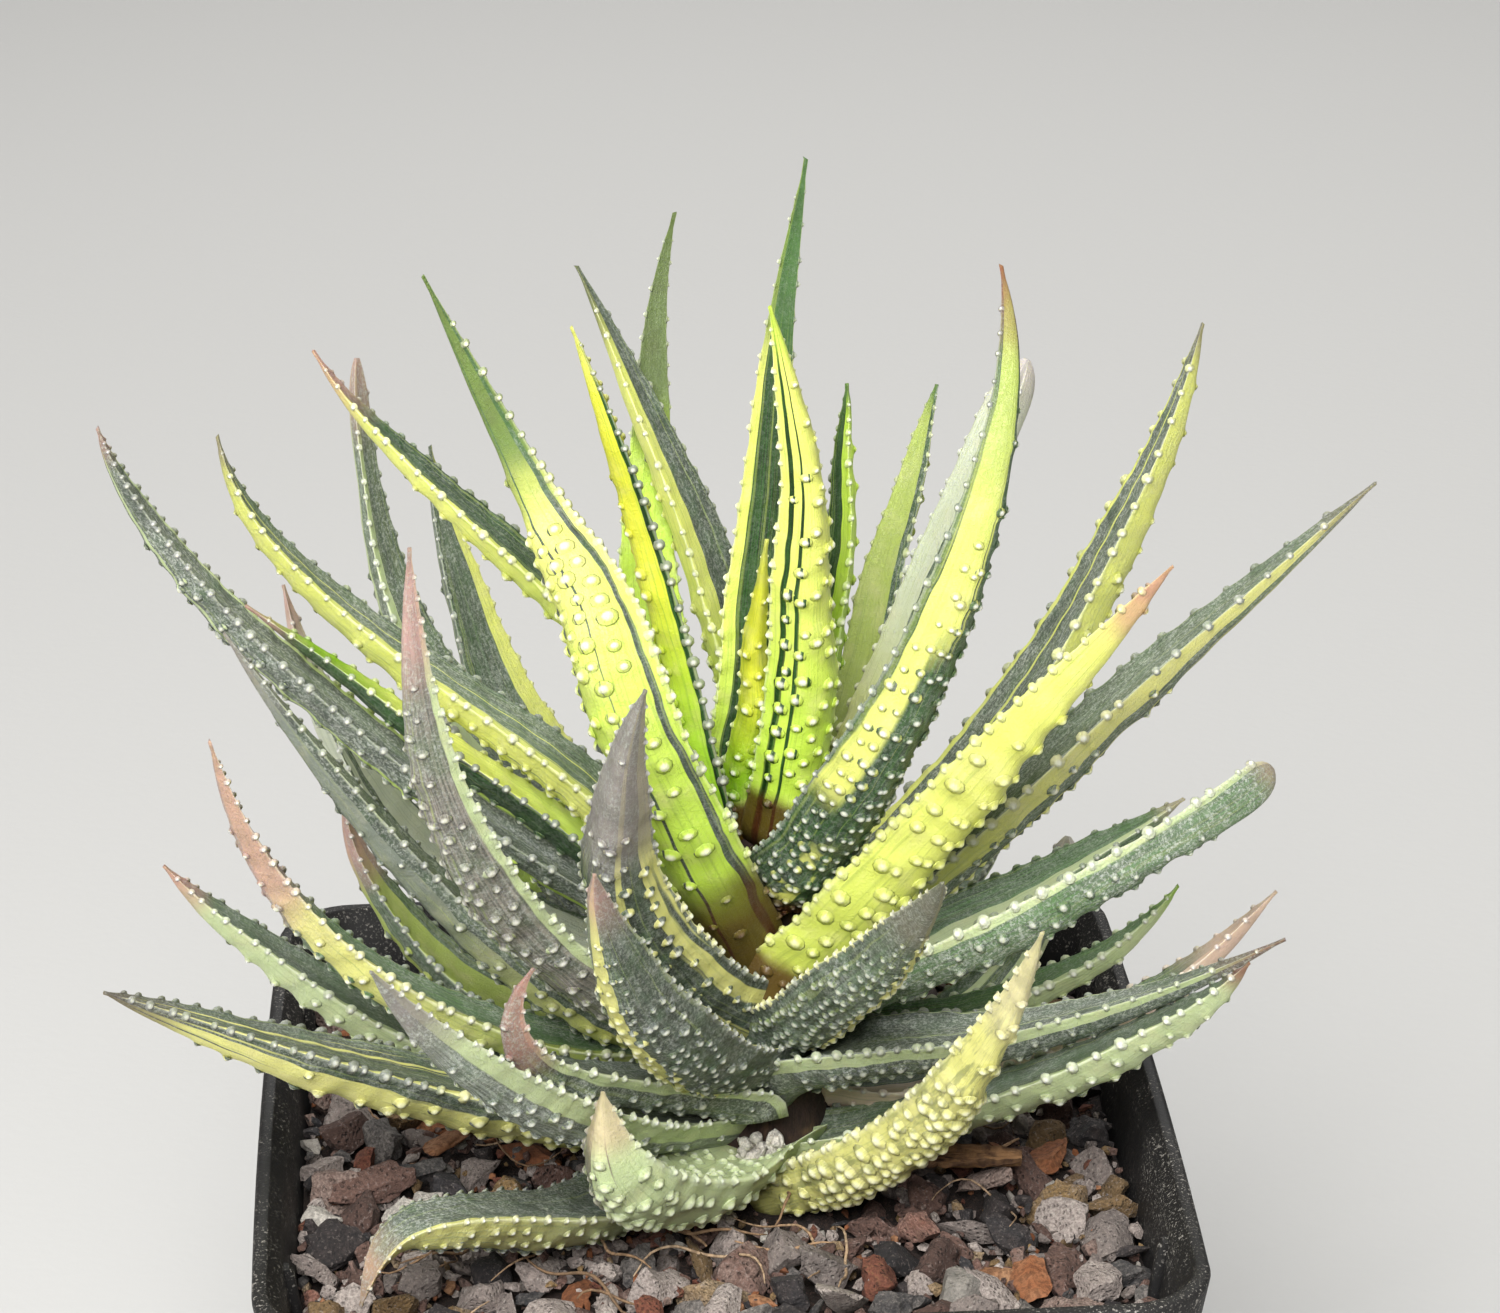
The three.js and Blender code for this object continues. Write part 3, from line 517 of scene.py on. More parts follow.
class LeafFinish(Finish):
    """Stripes from root to tip, frost on the green, pearly tubercles, a brown root and a coloured tip."""

    SCATTER = (0.9, 1.0, 0.35)  # how far each colour of light spreads under the skin
    SCATTER_DEPTH = 1.2

    def __init__(self, leaf, number, palette):
        super().__init__(f"leaf skin {number:02d}")
        self.leaf = leaf
        self.number = number
        self.palette = palette
        self.across, self.along = self.reading("across"), self.reading("along")
        self.under, self.knob = self.reading("under"), self.reading("knob")
        self.drift = self.clouds(7) - 0.5
        self.shifted = self.across + self.drift * 0.16
        self.veins = self.streaks(self.across, 22, 4, 1.9, 2)
        self.patches = self.clouds(2.6, 3, 0.6)

    def tone(self, name, factor=1):
        return tinted(getattr(self.palette, name), factor)

    def streaks(self, across, lines, cuts, turn, detail, roughness=0.5):
        """Noise with so many lines across the half width and cuts along the leaf, new for each turn."""
        way = self.vector(across * lines, self.along * cuts, self.number * turn)
        return self.noise(way, 1, detail, roughness)

    def bands(self, bands):
        """1 where the light colour lies, 0 elsewhere, with soft borders."""
        soft = 0.07 + 0.06 * self.leaf.lines
        total = None
        for low, high in bands:
            band = None
            if low > -1:
                band = self.shifted.rise(low - soft, low + soft)
            if high < 1:
                upper = self.shifted.fall(high - soft, high + soft)
                band = band * upper if band else upper
            if not band:
                return 1.0
            total = total.most(band) if total else band
        return total

    def light_stripes(self):
        """1 on the light colour and 0 on the dark one, along a border that breaks up into fine lines."""
        lightness = self.under * self.bands(self.leaf.under) + (1 - self.under) * self.bands(self.leaf.upper)
        fine_lines = self.streaks(self.shifted, 9, 1.5, 3.7, 1.5)
        broken = lightness * 0.8 + 0.1 + (fine_lines - 0.5) * (1.9 * self.leaf.lines)
        light = broken.rise(0.44, 0.56)
        if self.leaf.dark_to:
            light = light * self.past_dark_root()
        return light

    def past_dark_root(self):
        """0 on a leaf's dark lower part, but for pale bars across it and one light edge."""
        bars = self.streaks(self.across, 1.5, 34, 6.1, 1).rise(0.46, 0.54)
        bars = bars * self.shifted.rise(-0.62, -0.5) * self.along.fall(0.22, 0.3)
        edge = self.shifted.fall(-0.58, -0.46) * self.along.rise(0.32, 0.38)
        beyond = (self.along + self.drift * 0.2).rise(self.leaf.dark_to - 0.04, self.leaf.dark_to + 0.04)
        return beyond.most(bars.most(edge))

    def paint_light(self):
        leaf = self.leaf
        self.skin = self.blend(self.along.rise(0.12, 0.62), self.tone(leaf.low), self.tone(leaf.light))
        if leaf.high != leaf.light:
            self.coat(self.along.rise(0.6, 0.85), self.tone(leaf.high))
        self.coat(self.patches.rise(0.45, 0.8) * 0.5, toned(self.tone(leaf.light), self.tone("cream"), 0.6))
        self.coat(self.veins.rise(0.5, 0.72) * 0.45, toned(self.tone(leaf.low), self.tone("green"), 0.5))
        if leaf.mottle:
            blotches = self.streaks(self.across, 5, 16, 4.1, 3, 0.6)
            self.coat(blotches.rise(0.48, 0.62) * (0.6 * leaf.mottle), self.tone(leaf.deep))
        return self.skin

    def paint_deep(self):
        deep = self.leaf.deep
        self.skin = self.blend(self.veins.rise(0.38, 0.66), self.tone(deep, 0.5), self.tone(deep, 1.6))
        pinlines = self.streaks(self.shifted, 16, 0.9, 7.7, 1).rise(0.58, 0.68)
        self.coat(pinlines * 0.42, self.tone("olive"))
        self.coat(self.patches.rise(0.42, 0.75) * 0.4, self.tone("green"))
        return self.skin

    def paint_tip(self):
        start, name = self.leaf.tip_from, self.leaf.tip
        tip = (self.along + self.drift * 0.14).rise(start - 0.07, min(start + 0.08, 0.995))
        self.coat(tip * 0.85, self.blend(self.patches.rise(0.4, 0.7), self.tone(name), self.tone(name, 0.75)))

    def paint_frost(self, cover, grains):
        self.coat(cover * (0.42 * self.leaf.frost), self.tone("ash"))
        self.coat(cover * grains * (0.58 * self.leaf.frost), self.tone("rime"))

    def paint_tubercles(self, light_stripes):
        """Pearly tips, and the pale line that joins the teeth of a margin."""
        leaf = self.leaf
        pearl = toned(self.tone("pearl"), self.tone(leaf.light), 1 - 0.86 * leaf.pearly)
        dull_pearl = toned(self.tone(leaf.deep), self.tone("pearl"), 0.22 + 0.5 * leaf.pearly)
        pearl = self.blend(light_stripes, dull_pearl, pearl)
        self.coat(self.knob.rise(0.15, 0.9) * 0.9, pearl)
        self.coat(abs(self.across).rise(0.96, 1.0) * 0.3, pearl)

    def paint_root(self):
        end = self.leaf.brown_to
        root = (self.along + self.drift * 0.05).fall(end * 0.55, end * 1.25)
        self.coat(root * 0.92, self.blend(self.patches, self.tone("rust"), self.tone("rust", 0.45)))

    def painted(self):
        """The whole material: its coats, then veins, faint wrinkles and the grain of the skin as relief."""
        frost = self.leaf.frost
        light_stripes = self.light_stripes()
        self.skin = self.blend(light_stripes, self.paint_deep(), self.paint_light())
        self.paint_tip()
        grains = self.streaks(self.across, 10, 60, 2.3, 4, 0.75).rise(0.5, 0.62) * 0.5
        grains = grains + self.clouds(0.3, 3, 0.8).rise(0.47, 0.6) * 0.8
        cover = (1 - light_stripes * 0.75) * (self.clouds(4, 3, 0.6).rise(0.25, 0.6) * 0.65 + 0.35)
        self.paint_frost(cover, grains)
        self.paint_tubercles(light_stripes)
        if self.leaf.brown_to:
            self.paint_root()
        wrinkles = self.streaks(self.across, 3, 55, 5.3, 2)
        relief = self.veins * 0.5 + wrinkles * (0.5 + 0.5 * frost) + grains * (0.2 + 0.35 * frost)
        roughness = 0.36 + 0.2 * frost + (self.patches - 0.5) * 0.16 + cover * grains * (0.16 * frost)
        return self.done(
            Roughness=roughness - self.knob * 0.06,
            Normal=self.bump(self.clouds(0.16, 2), 0.03, self.bump(relief, 0.11)),
            Subsurface_Weight=0.25,
            Subsurface_Radius=self.SCATTER,
            Subsurface_Scale=self.SCATTER_DEPTH * MM,
            Specular_IOR_Level=0.42,
        )


DUSTY_RIM = 14  # depth below the rim to which dust lies


def plastic_finish(settings):
    """Matte black plastic: moulding grain, dust that settles on the rim and lime flecks."""
    finish = Finish("matte pot plastic")
    height = finish.node("ShaderNodeSeparateXYZ", None, {0: finish.place}, "Z")
    rim = height.rise((POT_HEIGHT - DUSTY_RIM) * MM, POT_HEIGHT * MM)
    clouds = finish.clouds(9, 4, 0.6)
    specks = finish.clouds(0.5, 3, 0.65)
    finish.skin = finish.blend(clouds, tinted(settings.plastic, 0.92), tinted(settings.plastic, 1.2))
    film = clouds.rise(0.3, 0.85) * 0.02 + rim * 0.04
    finish.coat(film * (settings.dustiness * 2), settings.dust)
    crumbs = finish.clouds(0.25, 3, 0.7).rise(0.57, 0.66)
    flecks = (specks.rise(0.58, 0.68) + crumbs) * (rim * 0.85 + 0.05) * clouds.rise(0.35, 0.6)
    finish.coat(flecks * (settings.dustiness * 1.7), settings.dust)
    scuffs = finish.noise(finish.stretched(14), 6 * MM, 4, 0.7)
    finish.coat(scuffs.rise(0.62, 0.8) * 0.06, settings.dust)
    grain = finish.clouds(0.28, 3, 0.6)
    return finish.done(
        Roughness=0.5 + clouds * 0.14 + flecks * 0.3,
        Normal=finish.bump(grain + specks * 0.3, 0.05, finish.bump(clouds, 0.25)),
        Specular_IOR_Level=0.2,
    )


WET_BROWN = (0.10, 0.06, 0.045)
DRY_DUST = (0.66, 0.58, 0.5)


def stone_finish(name, tone, pores, pore_size, fleck, fleck_tone):
    """A stone's skin: a tone of its own, grain, pores darkened with painted shade, and flecks."""
    finish = Finish(name)
    clouds = finish.clouds(1.6, 4, 0.6)
    grain = finish.clouds(0.3, 4, 0.7)
    holes = finish.node("ShaderNodeTexVoronoi", None, {"Vector": finish.place, "Scale": 1 / (pore_size * MM)})
    shaded_pits = holes.fall(0.1, 0.4)
    finish.skin = finish.ramp(
        finish.reading("tint") * 0.6 + clouds * 0.4,
        (0.14, tinted(tone, 0.34)),
        (0.4, toned(tone, WET_BROWN, 0.35)),
        (0.58, tone),
        (0.86, toned(tinted(tone, 1.3), DRY_DUST, 0.45)),
    )
    finish.coat(grain.rise(0.36, 0.62) * 0.6, tinted(tone, 0.3))
    # painted shade: the pores, which the relief sinks, are darkened to a fifth of the stone's tone
    finish.coat(shaded_pits * pores * 0.45, tinted(tone, 0.2))
    finish.coat(finish.clouds(0.4, 3, 0.7).rise(0.56, 0.66) * fleck, fleck_tone)
    relief = clouds * 0.7 + grain * 0.9 - shaded_pits * (pores * 0.7)
    return finish.done(Roughness=0.82 + grain * 0.15, Normal=finish.bump(relief, 0.42))


def bark_finish(name, tone, husk):
    """Fibrous bark with a grain along its length and split layers."""
    finish = Finish(name)
    fibres = finish.noise(finish.stretched(0.22), 0.45 * MM, 4, 0.65)
    clouds = finish.clouds(2.2, 3)
    stops = (0.2, tinted(tone, 0.35)), (0.5, tone), (0.8, toned(tone, husk, 0.7))
    finish.skin = finish.ramp(finish.reading("tint") * 0.5 + clouds * 0.5, *stops)
    finish.coat(fibres.rise(0.42, 0.62) * 0.6, tinted(tone, 0.3))
    relief = fibres + clouds * 0.5
    return finish.done(Roughness=0.78 + fibres * 0.15, Normal=finish.bump(relief, 0.3))


def paper_finish(name, tone, stain):
    """A dried leaf's thin skin: veins along it, blotches and a dark edge."""
    finish = Finish(name, tone)
    across, along = finish.reading("across"), finish.reading("along")
    veins = finish.noise(finish.vector(across * 14, along * 3, 1), 1, 3)
    blotches = finish.clouds(2, 4, 0.6)
    finish.coat(blotches.rise(0.4, 0.65), stain)
    finish.coat(veins.rise(0.5, 0.7) * 0.4, tinted(tone, 1.5))
    finish.coat(abs(across).rise(0.75, 1) * 0.5, tinted(stain, 0.6))
    relief = veins + finish.clouds(0.4, 2) * 0.5
    return finish.done(Roughness=0.6 + blotches * 0.3, Normal=finish.bump(relief, 0.25))


def stage_finish(tone):
    finish = Finish("studio paper", tinted(tone, 0.97))
    finish.coat(finish.clouds(400, 1), tone)
    grain = finish.clouds(1.5, 3)
    return finish.done(Roughness=0.88 + grain * 0.05, Normal=finish.bump(grain, 0.05))


# ------------------------------------------------------------------ meshes


class Skin:
    """Points in millimetres, faces and per-point readings, gathered before they become a piece."""

    def __init__(self):
        self.points = []
        self.faces = []
        self.readings = {}
        self.count = 0

    def add(self, points, faces, **readings):
        points = np.asarray(points, float).reshape(-1, 3)
        self.points.append(points)
        self.faces += [tuple(int(i) + self.count for i in face) for face in faces]
        for name, values in readings.items():
            held = self.readings.setdefault(name, [])
            held.append(np.broadcast_to(np.asarray(values, float), len(points)))
        self.count += len(points)

    def piece(self, name, material, crease=180.0):
        """The mesh object. Edges sharper than the crease angle stay sharp."""
        mesh = bpy.data.meshes.new(name)
        mesh.from_pydata((np.concatenate(self.points) * MM).tolist(), [], self.faces)
        for key, values in self.readings.items():
            layer = mesh.attributes.new(key, "FLOAT", "POINT")
            layer.data.foreach_set("value", np.concatenate(values).astype(np.float32))
        smooth_over(mesh, crease)
        mesh.materials.append(material)
        mesh.validate()
        made = bpy.data.objects.new(name, mesh)
        bpy.context.scene.collection.objects.link(made)
        return made


def smooth_over(mesh, crease):
    mesh.shade_smooth()
    if crease < 180:
        mesh.set_sharp_from_angle(angle=math.radians(crease))


def settle(piece, slot, *nodes):
    """Hands a piece to the frame: it rides with the body and stands for CAD nodes, which it hides; the slot is
    not used.
    """
    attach(piece, BODY)
    if nodes:
        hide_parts(*nodes)


def turns(count):
    """Angles evenly spaced round a full turn."""
    return np.arange(count) * 2 * math.pi / count


def ring_faces(rings, count):
    """Four-sided faces that join rings of equal length, each anticlockwise seen from the last."""
    faces = []
    for start in range(0, (rings - 1) * count, count):
        for i in range(count):
            a, b = start + i, start + (i + 1) % count
            faces.append((a, b, b + count, a + count))
    return faces


def fan(first, count, point):
    """Three-sided faces from the ring that starts at a point to one other point."""
    return [(first + i, first + (i + 1) % count, point) for i in range(count)]


def loft(rings):
    """Points and faces of a closed skin through rings of equal length."""
    count = len(rings[0])
    last = (len(rings) - 1) * count
    faces = ring_faces(len(rings), count)
    faces += [tuple(reversed(range(count))), tuple(range(last, last + count))]
    return np.concatenate([np.asarray(ring, float) for ring in rings]), faces


def curve_through(stations, t):
    """Points on the smooth curve of the lowest order through evenly spaced stations."""
    marks = np.array([station_point(*station) for station in stations])
    last = len(marks) - 1
    t = np.asarray(t, float)[..., None]
    total = 0
    for i, mark in enumerate(marks):
        weight = 1
        for j in range(last + 1):
            if j != i:
                weight = weight * (t * last - j) / (i - j)
        total = total + mark * weight
    return total


def unit(vectors):
    return vectors / np.maximum(np.linalg.norm(vectors, axis=-1, keepdims=True), 1e-12)


def smooth(t, low, high):
    x = np.clip((t - low) / (high - low), 0, 1)
    return x * x * (3 - 2 * x)


class LeafForm:
    """The skin of a leaf: where it is at an angle round the section and a share of the length."""

    ROOT_SHARE = 0.92
    CLASP = 0.42  # how far the margins wrap round the stem at the root
    # section of the blade, in thicknesses
    EDGE = 0.1  # roundness of the margins
    HOLLOW = 0.16  # how far the upper face dips between them
    KEEL = -0.75
    KEEL_POWER = 2.1
    FINE_WIDTH = 0.2

    def __init__(self, leaf, rng):
        self.leaf = leaf
        self.waves = rng.uniform(0, 2 * math.pi, 4)
        steps = np.diff(curve_through(leaf.stations, np.linspace(0, 1, 60)), axis=0)
        self.length = np.linalg.norm(steps, axis=1).sum()

    def frame_at(self, t):
        """Middle of the section, and the directions along, across and out of the upper face."""
        step = 1e-3
        centre, after, before = (curve_through(self.leaf.stations, t + d) for d in (0, step, -step))
        tangent = unit(after - before)
        first, last = self.leaf.faces
        face = np.radians(first + (last - first) * np.clip(t, 0, 1))
        side = np.stack([-np.sin(face), np.cos(face), np.zeros_like(face)], -1)
        side = unit(side - tangent * (side * tangent).sum(-1, keepdims=True))
        return centre, tangent, side, np.cross(tangent, side)

    def half_width(self, t):
        part = np.clip(t, 0, 1)
        swell = self.ROOT_SHARE + (1 - self.ROOT_SHARE) * smooth(part, 0, WIDEST_AT)
        taper = (1 - part**TAPER_POWER) ** TIP_FULLNESS
        least = self.leaf.blunt * (1 - part**30)
        wave = 1 + 0.02 * np.sin(part * 23 + self.waves[0]) + 0.015 * np.sin(part * 41 + self.waves[1])
        return np.maximum(self.leaf.width / 2 * (swell * taper) * wave, least + self.FINE_WIDTH)

    def thickness(self, t):
        part = np.clip(t, 0, 1)
        return 2 * self.half_width(t) * (ROOT_THICKNESS + (TIP_THICKNESS - ROOT_THICKNESS) * part)

    def points(self, angle, t):
        centre, _, side, above = self.frame_at(t)
        across, through = np.cos(angle), np.sin(angle)
        half, thick = self.half_width(t), self.thickness(t)
        top = 0.04 + self.HOLLOW * across**2
        keel = self.KEEL + 0.95 * np.abs(across) ** self.KEEL_POWER
        lift = np.where(through >= 0, top, keel) + self.EDGE * through
        clasp = self.CLASP * half * across**2 * (1 - smooth(t, -0.05, 0.3)) ** 2
        bend = 0.25 * np.sin(np.clip(t, 0, 1) * 9 + self.waves[2]) + 0.15 * np.sin(t * 17 + self.waves[3])
        out = centre + side * (across * half + bend)[..., None]
        return out + above * (lift * thick + clasp)[..., None]

    def facing(self, angle, t):
        """Unit vectors out of the skin."""
        turn, step = 0.05, 0.004
        round_it = self.points(angle + turn, t) - self.points(angle - turn, t)
        along_it = self.points(angle, t + step) - self.points(angle, t - step)
        return unit(np.cross(round_it, along_it))


# Rows of tubercles across the underside as shares of the half width, and how far apart they stand in a row
# as a share of the ordinary spacing.
KNOB_ROWS = {
    "sparse": ((-0.64, -0.24, 0.16, 0.58), 1.15),
    "even": ((-0.68, -0.34, 0.02, 0.36, 0.7), 1.0),
    "crowded": ((-0.8, -0.54, -0.27, 0.0, 0.28, 0.55, 0.8), 0.74),
    "ridged": ((-0.84, -0.56, -0.28, 0.0, 0.28, 0.56, 0.84), 1.08),
    "banded": ((-0.82, -0.6, -0.38, -0.14, 0.1, 0.34, 0.56, 0.78), 0.64),
}
LINED_UP = ("banded", "ridged")  # where a row's tubercles line up with its neighbours'
# spacing and size of a margin's teeth, as shares of the ordinary
TEETH = {"fine": (0.78, 0.86), "wide": (1.1, 1.1)}
# profile of a tubercle: share of its radius, share of its height, how pearly it is there
KNOB_PROFILE = ((1.0, -0.12, 0.0), (0.84, 0.03, 0.0), (0.66, 0.24, 0.1), (0.46, 0.62, 0.6), (0.24, 0.92, 1.0))
KNOB_SIDES = 9
KNOB_START = 0.02  # share of the length at which the rows begin
SLIM_LEAF = 7  # a narrower leaf has half the rows, and fewer points round it
TOOTH_REACH = 0.97
TOOTH_LIFT = 1.25  # a margin's teeth stand higher than the tubercles
MOUND_HEIGHT = 0.26  # a tubercle stands on a low swelling of the skin
MOUND_REACH = 0.72
TOOTH_MOUND = 0.65  # a tooth's swelling, as a share of a tubercle's

LEAF_STEP = 0.62  # length of the mesh's faces along a leaf
LEAF_SIDES = 44
SLIM_SIDES = 28
LAST_RING = 0.9975  # just short of the tip
ROOT_DEPTH = 3.2  # how far a leaf runs on into the stem


@dataclass
class KnobRow:
    """A row of tubercles, or of a margin's teeth, which have no number."""

    angle: float
    gap: float
    reach: float
    size: float
    number: int | None = None


def knob_rows(leaf, rng):
    shares, gap = KNOB_ROWS[leaf.knobs]
    if leaf.width < SLIM_LEAF:
        shares = shares[1::2]
    tooth_gap, tooth_size = TEETH[leaf.teeth]
    rows = [KnobRow(angle, tooth_gap, TOOTH_REACH, tooth_size) for angle in (0.0, math.pi)]
    for number, s in enumerate(shares):
        reach = 0.94 - 0.3 * abs(s) - rng.uniform(0, 0.1)
        rows.append(KnobRow(-math.acos(s), gap, reach, 1.0, number))
        if leaf.knobs_above:
            rows.append(KnobRow(math.acos(s), gap, reach, 0.8, number))
    return rows


def knob_places(leaf, form, spacing, rng):
    """Angle round the section, share of the length and size of each tubercle."""
    lined_up = leaf.knobs in LINED_UP
    start_play, play = (0.12, 0.12) if lined_up else (0.3, 0.26)
    places = []
    for row in knob_rows(leaf, rng):
        tooth = row.number is None
        step = spacing * row.gap / form.length
        t = KNOB_START + (0 if lined_up or tooth else step * (0.5 * (row.number % 2)))
        t += rng.uniform(0, start_play) * step
        while t < row.reach:
            place = t + rng.uniform(-play, play) * step
            kept = tooth or rng.random() > 0.12 + 0.4 * smooth(t, 0.5, 0.9)
            narrowing = 1 - (0.36 if tooth else 0.5) * smooth(t, 0.45, 1.0)
            size = row.size * narrowing * rng.uniform(0.74, 1.16) * (1 - 0.3 * (1 - smooth(t, 0, 0.15)))
            if leaf.knobs != "even":
                size *= 0.9
            angle = row.angle + (0 if tooth else rng.uniform(-0.09, 0.09))
            if kept and place > KNOB_START / 2:
                places.append((angle, place, size * leaf.knob_size))
            t += step * (1 if tooth else 1 + 0.5 * smooth(t, 0.3, 0.8))
    return np.array(places)


class Knobs:
    """The tubercles of a leaf: where they stand, which way they point, and how the skin swells under them."""

    def __init__(self, leaf, form, settings, rng):
        self.form = form
        self.angle, self.t, self.size = knob_places(leaf, form, settings.knob_spacing / MM, rng).T
        self.centres = form.points(self.angle, self.t)
        self.outward = form.facing(self.angle, self.t)
        _, self.tangent, side, _ = form.frame_at(self.t)
        self.on_margin = np.abs(np.sin(self.angle)) < 0.02
        level = unit(side * np.cos(self.angle)[:, None] + self.outward * 0.2)
        self.outward[self.on_margin] = level[self.on_margin]
        self.radius = settings.knob_radius / MM * self.size
        self.height = settings.knob_height / MM * self.size
        self.mounds = self.size * np.where(self.on_margin, TOOTH_MOUND, 1)

    def swelling(self, points):
        gap = np.linalg.norm(points[:, None, :] - self.centres[None, :, :], axis=2)
        total = (self.mounds * np.exp(-((gap / (MOUND_REACH * self.mounds)) ** 2) / 2)).sum(1)
        return MOUND_HEIGHT * np.minimum(total, 1.3)

    def fit_margins(self):
        """Tubercles are no wider than their leaf, and teeth no wider than its margin."""
        full = self.radius
        room = np.minimum(self.form.half_width(self.t) * 0.75, full)
        self.radius = np.where(self.on_margin, np.minimum(room, self.form.thickness(self.t) * 0.5), room)
        height = self.height * np.clip(self.radius / full, 0.55, 1)
        self.height = np.where(self.on_margin, height * TOOTH_LIFT, height)

    def add_to(self, skin, rng):
        """Each tubercle as a bell of rings with a point on top."""
        self.fit_margins()
        outward, count = self.outward, len(self.t)
        feet = self.centres + outward * (self.swelling(self.centres) * ~self.on_margin)[:, None]
        lengthwise = unit(self.tangent - outward * (self.tangent * outward).sum(1, keepdims=True))
        crosswise = np.cross(outward, lengthwise)
        stretch = np.where(self.on_margin, 1.0, rng.uniform(1.0, 1.3, count))
        spin = turns(KNOB_SIDES)
        run = lengthwise[:, None] * np.cos(spin)[None, :, None]
        run = run + crosswise[:, None] * (np.sin(spin)[None, :] * stretch[:, None])[..., None]
        rings, pearl, offset = [], [], []
        for wide, tall, pearliness in KNOB_PROFILE:
            out = self.radius * wide
            rise = outward * (self.height * tall)[:, None]
            rings.append(feet[:, None] + run * out[:, None, None] + rise[:, None])
            pearl.append(np.full((count, KNOB_SIDES), pearliness))
            offset.append(np.sin(spin)[None, :] * (out * stretch / self.form.half_width(self.t))[:, None])
        rings.append((feet + outward * self.height[:, None])[:, None])
        pearl.append(np.ones((count, 1)))
        offset.append(np.zeros((count, 1)))
        bells = np.concatenate(rings, 1)
        points = bells.shape[1]
        bell = ring_faces(len(KNOB_PROFILE), KNOB_SIDES)
        bell += fan((len(KNOB_PROFILE) - 1) * KNOB_SIDES, KNOB_SIDES, points - 1)
        bell.append(tuple(reversed(range(KNOB_SIDES))))
        hand = np.where(self.on_margin, 0.0, -np.sign(np.sin(self.angle)))[:, None]
        skin.add(
            bells,
            [tuple(i + knob * points for i in face) for knob in range(count) for face in bell],
            across=np.clip(np.cos(self.angle)[:, None] + np.concatenate(offset, 1) * hand, -1, 1).ravel(),
            along=np.repeat(np.clip(self.t, 0, 1), points),
            under=np.repeat(np.where(self.on_margin, 0.6, np.sin(self.angle) < 0), points),
            knob=np.concatenate(pearl, 1).ravel(),
        )


def add_leaf(skin, leaf, settings, rng):
    """One leaf in fine mesh: its blade, swollen under its tubercles, and the tubercles."""
    form = LeafForm(leaf, rng)
    knobs = Knobs(leaf, form, settings, rng)
    sides = LEAF_SIDES if leaf.width > SLIM_LEAF else SLIM_SIDES
    inside = ROOT_DEPTH / form.length
    t = np.concatenate([[-inside, -inside / 2], np.linspace(0, 1, int(form.length / LEAF_STEP)) ** 0.94])
    t[-1] = LAST_RING
    grid_t, angle = (g.ravel() for g in np.meshgrid(t, turns(sides), indexing="ij"))
    points = form.points(angle, grid_t)
    across, up = np.cos(angle), np.sin(angle)
    rough = 0.05 * np.sin(grid_t * form.length * 1.7 + 3 * across) * (1 - smooth(grid_t, 0.6, 1))
    swollen = points + form.facing(angle, grid_t) * (knobs.swelling(points) + rough)[:, None]
    last, tip, root = len(points) - sides, len(points), len(points) + 1
    end = swollen[last:].mean(0) if leaf.blunt else curve_through(leaf.stations, 1)
    skin.add(
        np.concatenate([swollen, [end, points[:sides].mean(0)]]),
        ring_faces(len(t), sides) + fan(last, sides, tip) + [face[::-1] for face in fan(0, sides, root)],
        across=np.append(across, [0, 0]),
        along=np.append(np.clip(grid_t, 0, 1), [1, 0]),
        under=np.append(np.where(np.abs(up) < 1e-6, 0.5, up < 0), [0.5, 0.5]),
        knob=0,
    )
    knobs.add_to(skin, rng)


def pot_width_at(height):
    return POT_BASE_WIDTH + (POT_WIDTH - 2 * BAND_STEP - POT_BASE_WIDTH) * height / POT_HEIGHT


SIDE_STEPS = 10
CORNER_STEPS = 9
LEAST_CORNER = 1.5
EDGE_STEPS = 4
INNER_LIP_BEVEL = 0.35
OUTER_LEVELS = (12, 26, 40, 54)  # heights of the rings on the walls
INNER_LEVELS = (66, 50, 30, 12, FLOOR)
RIB_SIDES = 12
DRAIN_SIDES = 24


def pot_outline(width, height, inset=0.0):
    """One level outline of the pot: four bowed sides joined by round corners."""
    half = width / 2 - inset
    radius = max(POT_CORNER - inset, LEAST_CORNER)
    straight = half - radius
    quarter = []
    for i in range(SIDE_STEPS):
        along = -1 + 2 * i / SIDE_STEPS
        quarter.append((half - POT_BOW * along * along, straight * along))
    centre = straight - POT_BOW
    for i in range(CORNER_STEPS):
        angle = i / CORNER_STEPS * math.pi / 2
        quarter.append((centre + radius * math.cos(angle), centre + radius * math.sin(angle)))
    outline = []
    for angle in turns(4):
        cos, sin = math.cos(angle), math.sin(angle)
        outline += [(x * cos - y * sin, x * sin + y * cos, height) for x, y in quarter]
    return outline


def rounded_edge(width, height, radius, first, last):
    """Rings that round an edge of the pot, turning from one angle to another in degrees."""
    rings = []
    for i in range(EDGE_STEPS + 1):
        angle = math.radians(first + (last - first) * i / EDGE_STEPS)
        rings.append(pot_outline(width, height + radius * math.sin(angle), -radius * math.cos(angle)))
    return rings


